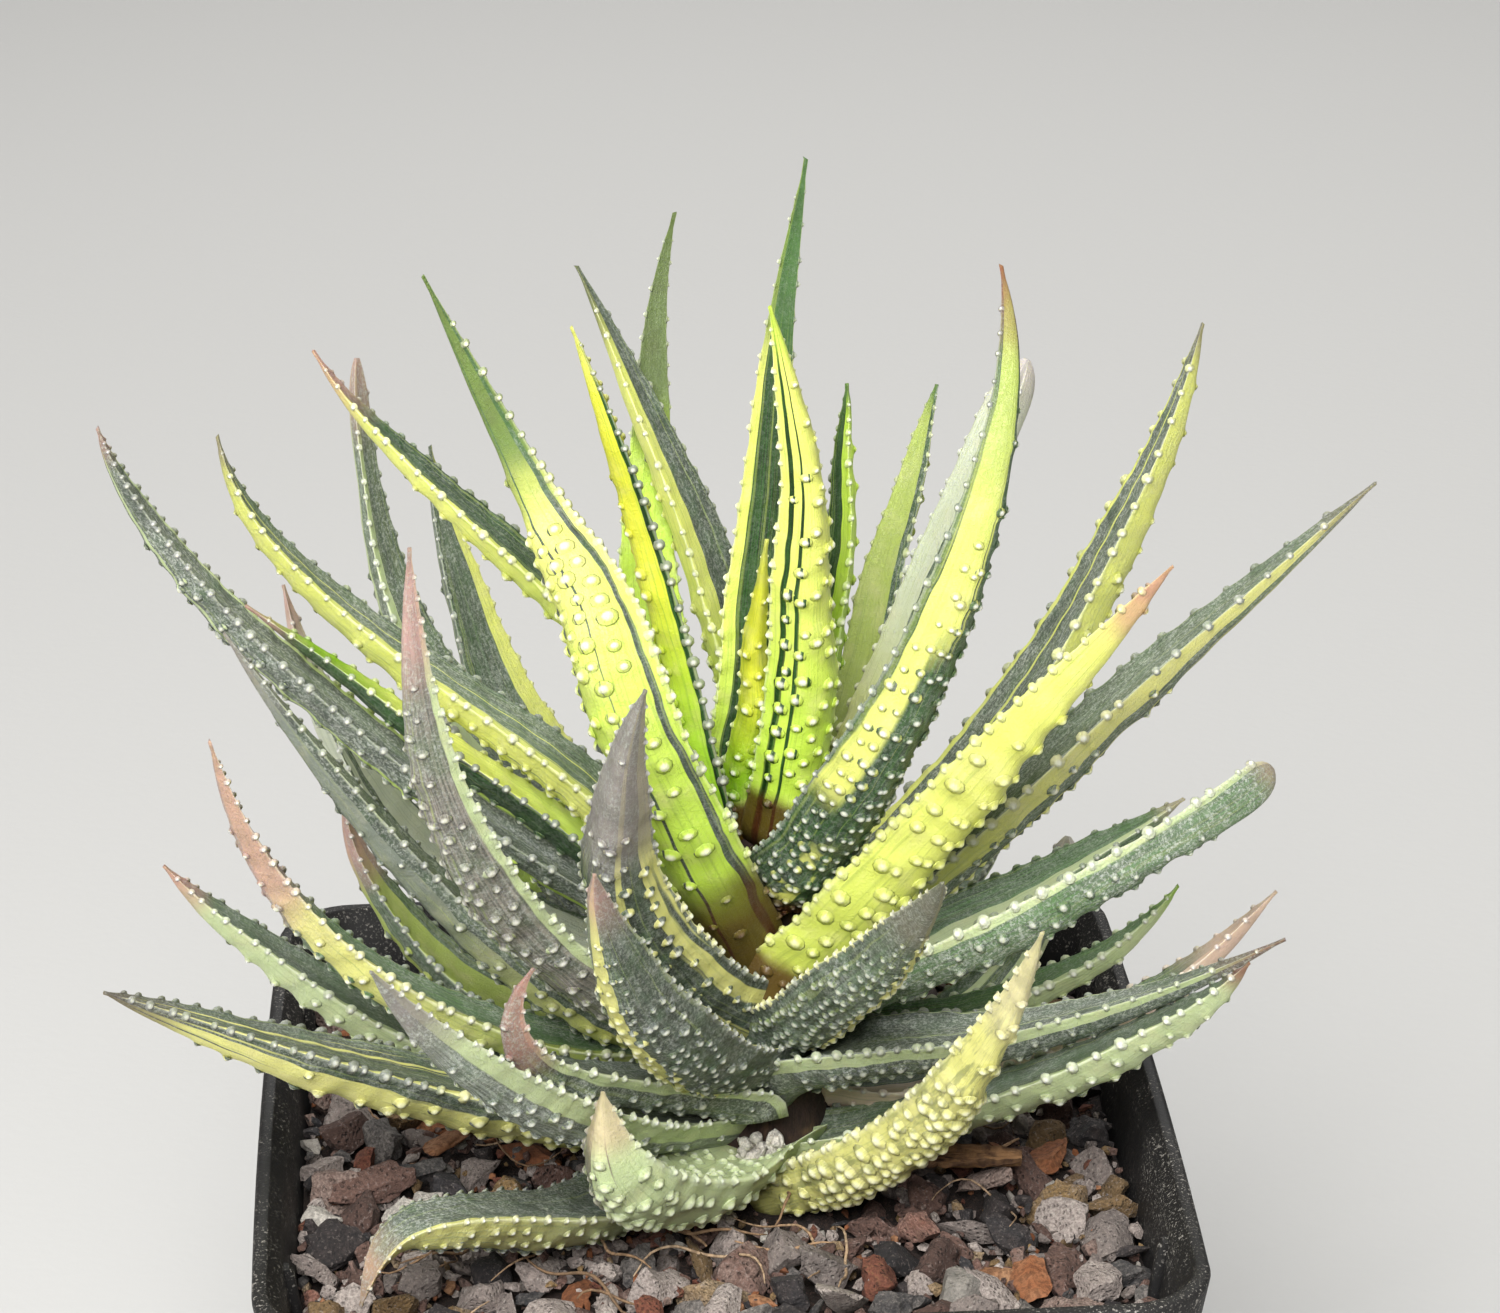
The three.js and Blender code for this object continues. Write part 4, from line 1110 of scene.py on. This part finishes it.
def pot_rings():
    """Up the outside, over the rim and down the inside."""
    band_foot = POT_HEIGHT - BAND_HEIGHT
    band_width = pot_width_at(band_foot + BAND_STEP) + 2 * BAND_STEP
    rings = [pot_outline(POT_BASE_WIDTH, 0, FOOT_BEVEL)]
    rings += rounded_edge(pot_width_at(FOOT_BEVEL) - 2 * FOOT_BEVEL, FOOT_BEVEL, FOOT_BEVEL, -80, 0)
    rings += [pot_outline(pot_width_at(h), h) for h in (*OUTER_LEVELS, band_foot - 0.4)]
    rings += [
        pot_outline(pot_width_at(band_foot) + 0.2, band_foot),
        pot_outline(band_width - 0.4, band_foot + 0.8 * BAND_STEP),
        pot_outline(band_width, band_foot + 1.2 * BAND_STEP),
    ]
    rings += rounded_edge(POT_WIDTH - 2 * LIP_BEVEL, POT_HEIGHT - LIP_BEVEL, LIP_BEVEL, 0, 90)
    flat = POT_WIDTH - 2 * WALL + 2 * INNER_LIP_BEVEL
    rings += rounded_edge(flat, POT_HEIGHT - INNER_LIP_BEVEL, -INNER_LIP_BEVEL, -90, 0)[1:]
    rings.append(pot_outline(pot_width_at(POT_HEIGHT), POT_HEIGHT - BAND_STEP - 0.2, WALL))
    return rings + [pot_outline(pot_width_at(h), h, WALL) for h in INNER_LEVELS]


def rib(side, hand):
    """One of the upright ribs inside the wall, leaning with it."""
    top, bottom = POT_HEIGHT - RIB_DROP, FLOOR / 2
    turn = Matrix.Rotation(side * math.pi / 2, 3, "Z")

    def squared(x):
        return math.copysign(abs(x) ** 0.6, x)

    rings = []
    for height, slim in ((bottom, 1), (top - 0.5, 1), (top, 0.55)):
        wall = pot_width_at(height) / 2 - WALL - POT_BOW / 2
        ring = []
        for angle in turns(RIB_SIDES):
            inward = squared(math.cos(angle)) * RIB_DEPTH * slim
            sideways = squared(math.sin(angle)) * RIB_WIDTH / 2
            ring.append(turn @ Vector((wall + inward, hand * RIB_SPACING / 2 + sideways, height)))
        rings.append(ring)
    return loft(rings)


def drain_cutter():
    """Four short rods where the pot's floor is open."""
    skin = Skin()
    circle = [(DRAIN_RADIUS * math.cos(a), DRAIN_RADIUS * math.sin(a)) for a in turns(DRAIN_SIDES)]
    for x in (-DRAIN_REACH, DRAIN_REACH):
        for y in (-DRAIN_REACH, DRAIN_REACH):
            rings = [[(x + dx, y + dy, height) for dx, dy in circle] for height in (-FLOOR, 2 * FLOOR)]
            skin.add(*loft(rings))
    return skin


def cut_away(piece, cutter):
    """Cuts one mesh out of another for good."""
    change = piece.modifiers.new("cut", "BOOLEAN")
    change.operation = "DIFFERENCE"
    change.object = cutter
    change.solver = "EXACT"
    seen = piece.evaluated_get(bpy.context.evaluated_depsgraph_get())
    whole = bpy.data.meshes.new_from_object(seen)
    piece.modifiers.clear()
    piece.data = whole
    bpy.data.objects.remove(cutter)


def soil_height(x, y):
    return SOIL_TOP + SOIL_MOUND * (1 - np.clip(np.hypot(x, y) / (POT_WIDTH / 2), 0, 1))


def ball(detail):
    """Points on a unit ball and its faces."""
    made = bmesh.new()
    bmesh.ops.create_icosphere(made, subdivisions=detail, radius=1)
    made.verts.ensure_lookup_table()
    points = np.array([v.co for v in made.verts])
    faces = [tuple(v.index for v in face.verts) for face in made.faces]
    made.free()
    return points, faces


CUT_DEPTHS = (0.42, 0.8)  # least and greatest distance of a stone's flats from its middle, in radii
STONE_WAVES = ((4, 5, 0.04), (5, 11, 0.03))  # how many waves roughen a stone, their fineness and their depth
SCRAP_FLATS = 8
STONE_SCALE = 0.6  # a ball's radius as a share of the stone's size: the flats take some of it away


def broken_stone(points, rng, flats, ratio, tumble):
    """A ball knocked into an angular stone: cut by planes, roughened, tumbled and turned round."""
    shape = points.copy()
    for _ in range(flats):
        way = unit(rng.normal(size=3))
        over = np.maximum(shape @ way - rng.uniform(*CUT_DEPTHS), 0)
        shape -= over[:, None] * way
    rough = 1
    for count, fineness, depth in STONE_WAVES:
        waves = [np.sin(shape @ (rng.normal(size=3) * fineness) + rng.uniform(0, 6)) for _ in range(count)]
        rough = rough + depth * sum(waves)
    shape *= rough[:, None]
    shape *= np.array(ratio) * rng.uniform(0.75, 1.25, 3)
    turn = Matrix.Rotation(rng.uniform(0, 2 * math.pi), 3, "Z")
    tips = [Matrix.Rotation(rng.uniform(-tumble, tumble), 3, axis) for axis in "XY"]
    return shape @ np.array(turn @ (tips[0] @ tips[1])).T


def low_cover():
    """Middle, reach and underside of the low leaves, step by step: nothing may stand up through them."""
    rows = []
    t = np.linspace(-0.02, 0.97, 40)
    for leaf in LOW_LEAVES:
        form = LeafForm(leaf, np.random.default_rng(0))
        x, y, z = form.frame_at(t)[0].T
        rows.append(np.column_stack([x, y, form.half_width(t), z - 0.8 * form.thickness(t)]))
    return np.concatenate(rows)


def sunk(z, size, x, y, cover):
    """Height of a stone that keeps it under the low leaves."""
    gap = np.hypot(cover[:, 0] - x, cover[:, 1] - y)
    over = cover[gap < cover[:, 2] + size * 0.5]
    return min(z, over[:, 3].min() - 0.4 * size) if len(over) else z


STONE_TRIES = 14000
STONE_GAP = 0.39  # least distance between two stones, as a share of their sizes' sum
INNER_CORNER = 3
CORNER_REACH = 3.4


def stone_places(rng, settings):
    """Where the stones lie: x, y, size, biggest first, each clear of those before it."""
    inner = pot_width_at(SOIL_TOP) / 2 - WALL
    smallest, largest = settings.smallest / MM, settings.largest / MM
    kept = np.zeros((STONE_TRIES, 3))
    count = 0
    for size in np.sort(smallest + (largest - smallest) * rng.random(STONE_TRIES) ** 1.5)[::-1]:
        room = inner - 0.42 * size
        x, y = rng.uniform(-room, room, 2)
        into_corner = [max(abs(c) - room + INNER_CORNER, 0) for c in (x, y)]
        near = kept[:count]
        on_stem = math.hypot(x - PLANT_X, y) < STEM_RADIUS + size * 0.4
        if on_stem or math.hypot(*into_corner) > CORNER_REACH:
            continue
        if (np.hypot(near[:, 0] - x, near[:, 1] - y) < STONE_GAP * (near[:, 2] + size)).any():
            continue
        kept[count] = x, y, size
        count += 1
    return kept[:count]


ROOTLET_SIDES = 6


def tube(path, radius):
    """Points and faces of a thin rod along a path of points."""
    path = np.asarray(path, float)
    tangent = unit(np.gradient(path, axis=0))
    side = unit(np.cross(tangent, (0.31, 0.17, 0.93)))
    other = np.cross(side, tangent)
    rings = []
    for i, middle in enumerate(path):
        thin = radius * (0.35 + 0.65 * math.sin(math.pi * (i + 0.7) / (len(path) + 0.4)))
        spokes = [side[i] * math.cos(a) - other[i] * math.sin(a) for a in turns(ROOTLET_SIDES)]
        rings.append([middle + thin * spoke for spoke in spokes])
    return loft(rings)


# ------------------------------------------------------------------ operators


class HAWORTHIA_OT_pot(bpy.types.Operator):
    """Build the square nursery pot"""

    bl_idname = "haworthia.pot"
    bl_label = "Pot"

    CREASE = 42

    def execute(self, context):
        skin = Skin()
        skin.add(*loft(pot_rings()))
        for side in range(4):
            for hand in (-1, 1):
                skin.add(*rib(side, hand))
        material = plastic_finish(context.scene.haworthia.pot)
        pot = skin.piece("nursery_pot", material)
        cut_away(pot, drain_cutter().piece("drain_cutter", material))
        smooth_over(pot.data, self.CREASE)
        settle(pot, "pot", "pot")
        return {"FINISHED"}


class HAWORTHIA_OT_grit(bpy.types.Operator):
    """Fill the pot with a dark bed, loose stones, bark, fines and rootlets"""

    bl_idname = "haworthia.grit"
    bl_label = "Grit"

    # each kind's share of the stones and of the crumbs
    KINDS = {
        "pumice": (0.31, 0.3),
        "lava": (0.24, 0.31),
        "ochre": (0.06, 0.1),
        "brick": (0.04, 0.04),
        "charcoal": (0.24, 0.15),
        "bark": (0.08, 0.06),
        "chalk": (0.03, 0.04),
    }
    CRUMBS = 3000
    ROOTLETS = 46
    ROOTLET_STEP = 0.9
    ROOTLET_RADII = (0.08, 0.18)
    BED_DEPTH = 2.3  # below the grit's level
    BED_RINGS = 44
    BED_GAP = 0.12  # to the pot's wall
    BED_ROUGHNESS = 0.45
    BROAD_STONE = 3.4  # a larger stone has a finer mesh
    CREASE = 34
    SLIVERS = 0.14  # share of the stones that are long and thin
    STONE_FLATS = 13
    CRUMB_FLATS = 6
    STONE_LEVEL = -0.9  # height of the smallest stones' middle over the grit's level
    STONE_PLAY = (-1.0, 0.9)
    # length, width and thickness of a bark chip, a long stone, an ordinary one and a crumb
    CHIP = (1.2, 0.62, 0.3)
    SLIVER = (1.45, 0.6, 0.5)
    LUMP = (1.05, 0.86, 0.7)
    CRUMB = (1, 0.8, 0.62)
    PALE_FIBRE = (0.55, 0.42, 0.28)

    def execute(self, context):
        settings = context.scene.haworthia.grit
        rng = np.random.default_rng(context.scene.haworthia.seed)
        self.inner = pot_width_at(SOIL_TOP) / 2
        self.lay_bed(settings, rng)
        self.lay_stones(settings, rng)
        self.lay_rootlets(settings, rng)
        return {"FINISHED"}

    def lay_bed(self, settings, rng):
        """The crumb under the stones, in the shape of the pot's inside, kept near black as painted shade for
        the gaps between the stones.
        """
        inset = WALL + self.BED_GAP
        rings = [pot_outline(pot_width_at(FLOOR), FLOOR + 0.3, inset)]
        top = np.array(pot_outline(pot_width_at(SOIL_TOP), SOIL_TOP, inset))
        for part in np.linspace(1, 0.03, self.BED_RINGS):
            ring = top * (part, part, 1)
            x, y = ring[:, 0], ring[:, 1]
            waves = np.sin(x * 1.9) * np.sin(y * 2.3) * 0.35
            level = soil_height(x, y) - self.BED_DEPTH + waves
            ring[:, 2] = level + rng.uniform(-self.BED_ROUGHNESS, self.BED_ROUGHNESS, len(ring))
            rings.append(ring)
        skin = Skin()
        skin.add(*loft(rings), tint=0.4)
        material = stone_finish("dark crumb", settings.bed, 0.6, 0.8, 0.35, settings.lava)
        settle(skin.piece("grit_bed", material), "grit", "substrate")

    def finishes(self, settings):
        """The material of each kind of stone: its pores, their size, its flecks and their colour."""
        return {
            "pumice": stone_finish("grey pumice", settings.pumice, 0.8, 0.5, 0.3, settings.chalk),
            "lava": stone_finish("brown lava", settings.lava, 1.0, 0.6, 0.25, settings.pumice),
            "ochre": stone_finish("tan stone", settings.ochre, 0.7, 0.45, 0.4, settings.pumice),
            "brick": stone_finish("red-brown stone", settings.brick, 0.9, 0.5, 0.3, settings.ochre),
            "charcoal": stone_finish("charcoal", settings.charcoal, 0.4, 0.9, 0.25, settings.pumice),
            "bark": bark_finish("bark chips", settings.bark, settings.fibre),
            "chalk": stone_finish("white stone", settings.chalk, 0.5, 0.7, 0.2, settings.pumice),
        }

    def lay_stones(self, settings, rng):
        kinds = list(self.KINDS)
        stone_shares, crumb_shares = zip(*self.KINDS.values())
        skins = {kind: Skin() for kind in kinds}
        cover = low_cover()
        balls = {True: ball(3), False: ball(2)}
        for x, y, size in stone_places(rng, settings):
            kind = rng.choice(kinds, p=stone_shares)
            flat = kind == "bark"
            sliver = not flat and rng.random() < self.SLIVERS
            ratio = self.CHIP if flat else self.SLIVER if sliver else self.LUMP
            points, faces = balls[bool(size > self.BROAD_STONE)]
            habit = (SCRAP_FLATS, ratio, 0.35) if flat else (self.STONE_FLATS, ratio, 0.9)
            stone = broken_stone(points, rng, *habit) * size * STONE_SCALE
            z = soil_height(x, y) + self.STONE_LEVEL + 0.16 * size + rng.uniform(*self.STONE_PLAY)
            skins[kind].add(stone + (x, y, sunk(z, size, x, y, cover)), faces, tint=rng.random())
        self.scatter_crumbs(skins, crumb_shares, rng, cover)
        for kind, material in self.finishes(settings).items():
            settle(skins[kind].piece("grit_" + kind, material, self.CREASE), "grit")

    def scatter_crumbs(self, skins, shares, rng, cover):
        """Crumbs between and on the stones."""
        crumb, faces = ball(1)
        inner = self.inner - WALL - 0.6
        for _ in range(self.CRUMBS):
            x, y = rng.uniform(-inner, inner, 2)
            size = 0.6 + 1.3 * rng.random() ** 1.6
            if math.hypot(x - PLANT_X, y) < STEM_RADIUS or min(abs(x), abs(y)) > inner - INNER_CORNER:
                continue
            kind = rng.choice(list(skins), p=shares)
            stone = broken_stone(crumb, rng, self.CRUMB_FLATS, self.CRUMB, 1.5) * size * STONE_SCALE
            z = sunk(soil_height(x, y) - 0.8 + rng.uniform(-0.9, 0.9), size, x, y, cover)
            skins[kind].add(stone + (x, y, z), faces, tint=rng.uniform(0.1, 0.9))

    def lay_rootlets(self, settings, rng):
        """Thin roots that wander over the stones, away from the stem and the wall."""
        skin = Skin()
        inner = self.inner - 7
        for number in range(self.ROOTLETS):
            x, y = rng.uniform(-inner, inner, 2)
            if math.hypot(x - PLANT_X, y) < STEM_RADIUS + 3:
                continue
            heading = rng.uniform(0, 2 * math.pi)
            bend = rng.uniform(-0.25, 0.25)
            path = []
            for step in range(int(rng.integers(8, 20))):
                heading += bend + rng.uniform(-0.25, 0.25)
                x, y = x + self.ROOTLET_STEP * math.cos(heading), y + self.ROOTLET_STEP * math.sin(heading)
                if max(abs(x), abs(y)) > inner + 4:
                    break
                lift = 1.5 + 0.7 * math.sin(step * 0.6 + number)
                path.append((x, y, soil_height(x, y) + lift))
            if len(path) > 4:
                skin.add(*tube(path, rng.uniform(*self.ROOTLET_RADII)), tint=rng.random())
        settle(skin.piece("rootlets", bark_finish("rootlet", settings.fibre, self.PALE_FIBRE)), "grit")


class HAWORTHIA_OT_stem(bpy.types.Operator):
    """Build the short scaly stem that the leaves grow from"""

    bl_idname = "haworthia.stem"
    bl_label = "Stem"

    SIDES = 40
    RING_STEP = 0.8
    CROWN_RINGS = 16
    CROWN_END = 0.985  # how far the rounded top closes
    FOOT_TAPER = 3
    CREASE = 40
    HUSKS = 46
    HUSK_SHAPE = (1.4, 0.75, 0.16)
    HUSK_LEVEL = 72.2  # their height against the stem
    CRUMBS = 34
    CRUMB_SHAPE = (1.3, 0.8, 0.7)
    CRUMB_HEAP = ((-1.8, 1.6), (-9.8, -8.2), (73.6, 76))  # from the stem's axis in X, and in Y and Z

    def execute(self, context):
        settings = context.scene.haworthia.stem
        rng = np.random.default_rng(context.scene.haworthia.seed + 1)
        skin = Skin()
        skin.add(*loft([self.ring(*level, rng) for level in self.levels()]), tint=0.45)
        finish = bark_finish("stem bark", settings.bark, settings.husk)
        settle(skin.piece("stem_core", finish), "stem_bark", "stem")
        self.shed_husks(settings, rng)
        self.strew_crumbs(settings, rng)
        return {"FINISHED"}

    def levels(self):
        """Height and radius of each ring, up the straight part and over the rounded top."""
        for height in np.arange(STEM_FOOT, STEM_SHOULDER, self.RING_STEP):
            yield height, STEM_RADIUS - self.FOOT_TAPER * max(0, 1 - (height - STEM_FOOT) / self.FOOT_TAPER)
        for part in np.linspace(0, 1, self.CROWN_RINGS):
            angle = part * math.pi / 2 * self.CROWN_END
            yield STEM_SHOULDER + (STEM_TOP - STEM_SHOULDER) * math.sin(angle), STEM_RADIUS * math.cos(angle)

    def ring(self, height, radius, rng):
        angle = turns(self.SIDES)
        scales = 0.25 * np.abs(np.sin(angle * 4 + height * 0.9)) + rng.uniform(-0.08, 0.08, self.SIDES)
        out = radius + scales * min(radius / STEM_RADIUS, 1)
        x, y = PLANT_X + out * np.cos(angle), out * np.sin(angle)
        return np.column_stack([x, y, np.full(self.SIDES, height)])

    def shed_husks(self, settings, rng):
        """Dried scales round the stem's foot."""
        points, faces = ball(2)
        husks = Skin()
        for _ in range(self.HUSKS):
            turn, size = rng.uniform(0, 2 * math.pi), rng.uniform(2.2, 5)
            out = STEM_RADIUS + rng.uniform(0.2, 2.6)
            husk = broken_stone(points, rng, SCRAP_FLATS, self.HUSK_SHAPE, 0.7) * size * 0.55
            level = self.HUSK_LEVEL - (out - STEM_RADIUS) * 0.8
            place = (PLANT_X + out * math.cos(turn), out * math.sin(turn), level)
            husks.add(husk + place, faces, tint=rng.random())
        finish = bark_finish("dry husk", settings.husk, settings.crumb)
        settle(husks.piece("stem_husks", finish, self.CREASE), "stem_bark")

    def strew_crumbs(self, settings, rng):
        """A few white crumbs of root at the front of the stem."""
        points, faces = ball(2)
        crumbs = Skin()
        for _ in range(self.CRUMBS):
            size = rng.uniform(0.8, 1.8)
            crumb = broken_stone(points, rng, SCRAP_FLATS, self.CRUMB_SHAPE, 1.5) * size * STONE_SCALE
            x, y, z = (rng.uniform(*span) for span in self.CRUMB_HEAP)
            crumbs.add(crumb + (PLANT_X + x, y, z), faces, tint=rng.uniform(0.5, 0.9))
        finish = stone_finish("white root crumb", settings.crumb, 0.3, 0.4, 0.3, settings.husk)
        settle(crumbs.piece("stem_crumbs", finish, self.CREASE), "stem_bark")


class HAWORTHIA_OT_dry_leaf(bpy.types.Operator):
    """Build the dried leaf that lies on the grit"""

    bl_idname = "haworthia.dry_leaf"
    bl_label = "Dried leaf"

    STEPS = 40
    COLUMNS = 15
    UPPER_SKIN = 0.62  # height of each skin over the middle line
    LOWER_SKIN = 0.22
    CREASE = 70

    def execute(self, context):
        settings = context.scene.haworthia.dry_leaf
        t = np.linspace(0, 1, self.STEPS)
        centre = curve_through(DRY_LEAF, t)
        tangent = unit(np.gradient(centre, axis=0))
        side = unit(np.cross((0, 0, 1), tangent))
        half = DRY_LEAF_WIDTH / 2 * (1 - 0.75 * t**2)
        s = np.linspace(1, -1, self.COLUMNS)
        rings = []
        for i in range(self.STEPS):
            ragged = 1 + 0.09 * math.sin(i * 1.7) + 0.06 * math.sin(i * 4.1)
            curl = DRY_LEAF_CURL * s**2 + 0.14 * np.sin(s * 9 + i * 0.35)
            line = centre[i] + side[i] * (s * half[i] * ragged)[:, None]
            top = line + np.outer(curl + self.UPPER_SKIN, (0, 0, 1))
            bottom = line + np.outer(curl + self.LOWER_SKIN, (0, 0, 1))
            rings.append(np.concatenate([top, bottom[::-1]]))
        skin = Skin()
        across = np.tile(np.append(s, s[::-1]), self.STEPS)
        skin.add(*loft(rings), across=across, along=np.repeat(t, 2 * self.COLUMNS))
        material = paper_finish("dried leaf", settings.paper, settings.stain)
        settle(skin.piece("dried_leaf", material, self.CREASE), "dry_leaf", "dry_leaf")
        return {"FINISHED"}


class HAWORTHIA_OT_leaves(bpy.types.Operator):
    """Build the rosette's striped leaves with their tubercles"""

    bl_idname = "haworthia.leaves"
    bl_label = "Leaves"

    def execute(self, context):
        settings = context.scene.haworthia.leaves
        seed = context.scene.haworthia.seed * 1000
        leaves = [(leaf, slot) for slot, ring in ROSETTE.items() for leaf in ring]
        for number, (leaf, slot) in enumerate(leaves, 1):
            node = f"leaf_{number:02d}"
            skin = Skin()
            add_leaf(skin, leaf, settings, np.random.default_rng(seed + number))
            made = skin.piece("striped_" + node, LeafFinish(leaf, number, settings).painted())
            settle(made, slot, node)
        return {"FINISHED"}


class HAWORTHIA_OT_stage(bpy.types.Operator):
    """Set up the pale floor, the soft lights and the camera"""

    bl_idname = "haworthia.stage"
    bl_label = "Stage"

    AIM = Vector((3.5, -0.2, 120.4)) * MM
    FORWARD = Vector((0.05455, 0.91820, -0.39234))
    DISTANCE = 416.6 * MM
    SENSOR = 36.0
    LENS = 110.4
    SKY = 0.2
    # place and width of each light in metres
    LIGHTS = {
        "key": ((-0.12, -0.6, 0.68), 0.5),
        "fill": ((-0.75, -0.35, 0.42), 0.6),
        "back": ((0.1, 0.7, 0.8), 0.6),
    }
    FLOOR_WIDTH = 5200
    FLOOR_FRONT = -1800
    SWEEP_START = 1000
    SWEEP_RADIUS = 900
    SWEEP_STEPS = 16
    WALL_TOP = 2600

    def execute(self, context):
        settings = context.scene.haworthia.stage
        self.lay_floor(settings)
        for name, (place, size) in self.LIGHTS.items():
            self.hang_light(name, place, size, getattr(settings, name))
        world = bpy.data.worlds.new("studio")
        world.use_nodes = True
        sky = world.node_tree.nodes["Background"]
        sky.inputs["Color"].default_value = (1, 1, 1, 1)
        sky.inputs["Strength"].default_value = self.SKY
        context.scene.world = world
        context.scene.view_settings.view_transform = "Standard"
        self.place_camera(context)
        return {"FINISHED"}

    def lay_floor(self, settings):
        """A sheet of studio paper that runs back and sweeps up."""
        profile = [(self.FLOOR_FRONT, 0)]
        for i in range(self.SWEEP_STEPS + 1):
            angle = i / self.SWEEP_STEPS * math.pi / 2
            back, up = self.SWEEP_RADIUS * math.sin(angle), self.SWEEP_RADIUS * (1 - math.cos(angle))
            profile.append((self.SWEEP_START + back, up))
        profile.append((self.SWEEP_START + self.SWEEP_RADIUS, self.WALL_TOP))
        skin = Skin()
        half = self.FLOOR_WIDTH / 2
        points = [(x, y, z) for y, z in profile for x in (-half, half)]
        skin.add(points, [(2 * i, 2 * i + 1, 2 * i + 3, 2 * i + 2) for i in range(len(profile) - 1)])
        skin.piece("studio_floor", stage_finish(settings.floor))

    def hang_light(self, name, place, size, power):
        lamp = bpy.data.lights.new(name, "AREA")
        lamp.shape = "DISK"
        lamp.size = size
        lamp.energy = power
        hung = bpy.data.objects.new(name, lamp)
        hung.location = place
        hung.rotation_euler = (self.AIM - hung.location).to_track_quat("-Z", "Y").to_euler()
        bpy.context.scene.collection.objects.link(hung)

    def place_camera(self, context):
        camera = bpy.data.cameras.new("camera")
        camera.lens = self.LENS
        camera.sensor_fit = "HORIZONTAL"
        camera.sensor_width = self.SENSOR
        camera.clip_start = 0.01
        stand = bpy.data.objects.new("camera", camera)
        stand.location = self.AIM - self.FORWARD * self.DISTANCE
        stand.rotation_euler = self.FORWARD.to_track_quat("-Z", "Y").to_euler()
        context.scene.collection.objects.link(stand)
        context.scene.camera = stand


OPERATORS = (
    HAWORTHIA_OT_stage,
    HAWORTHIA_OT_pot,
    HAWORTHIA_OT_grit,
    HAWORTHIA_OT_stem,
    HAWORTHIA_OT_dry_leaf,
    HAWORTHIA_OT_leaves,
)


class HAWORTHIA_PT_panel(bpy.types.Panel):
    """Lists the plant's pieces in the sidebar"""

    bl_idname = "HAWORTHIA_PT_panel"
    bl_label = "Potted haworthia"
    bl_space_type = "VIEW_3D"
    bl_region_type = "UI"
    bl_category = "Haworthia"

    def draw(self, context):
        for operator in OPERATORS:
            self.layout.operator(operator.bl_idname)
        for part in ("pot", "grit", "stem", "dry_leaf", "leaves", "stage"):
            settings = getattr(context.scene.haworthia, part)
            column = self.layout.column(heading=part.replace("_", " "))
            for name in settings.bl_rna.properties.keys():
                if name not in ("rna_type", "name"):
                    column.prop(settings, name)


CLASSES = (
    PotSettings,
    GritSettings,
    StemSettings,
    DryLeafSettings,
    LeafSettings,
    StageSettings,
    HaworthiaSettings,
    *OPERATORS,
    HAWORTHIA_PT_panel,
)


def register():
    for made in CLASSES:
        bpy.utils.register_class(made)
    bpy.types.Scene.haworthia = PointerProperty(type=HaworthiaSettings)


def unregister():
    del bpy.types.Scene.haworthia
    for made in reversed(CLASSES):
        bpy.utils.unregister_class(made)


def main():
    register()
    for operator in OPERATORS:
        family, name = operator.bl_idname.split(".")
        getattr(getattr(bpy.ops, family), name)()


if __name__ == "__main__":
    main()
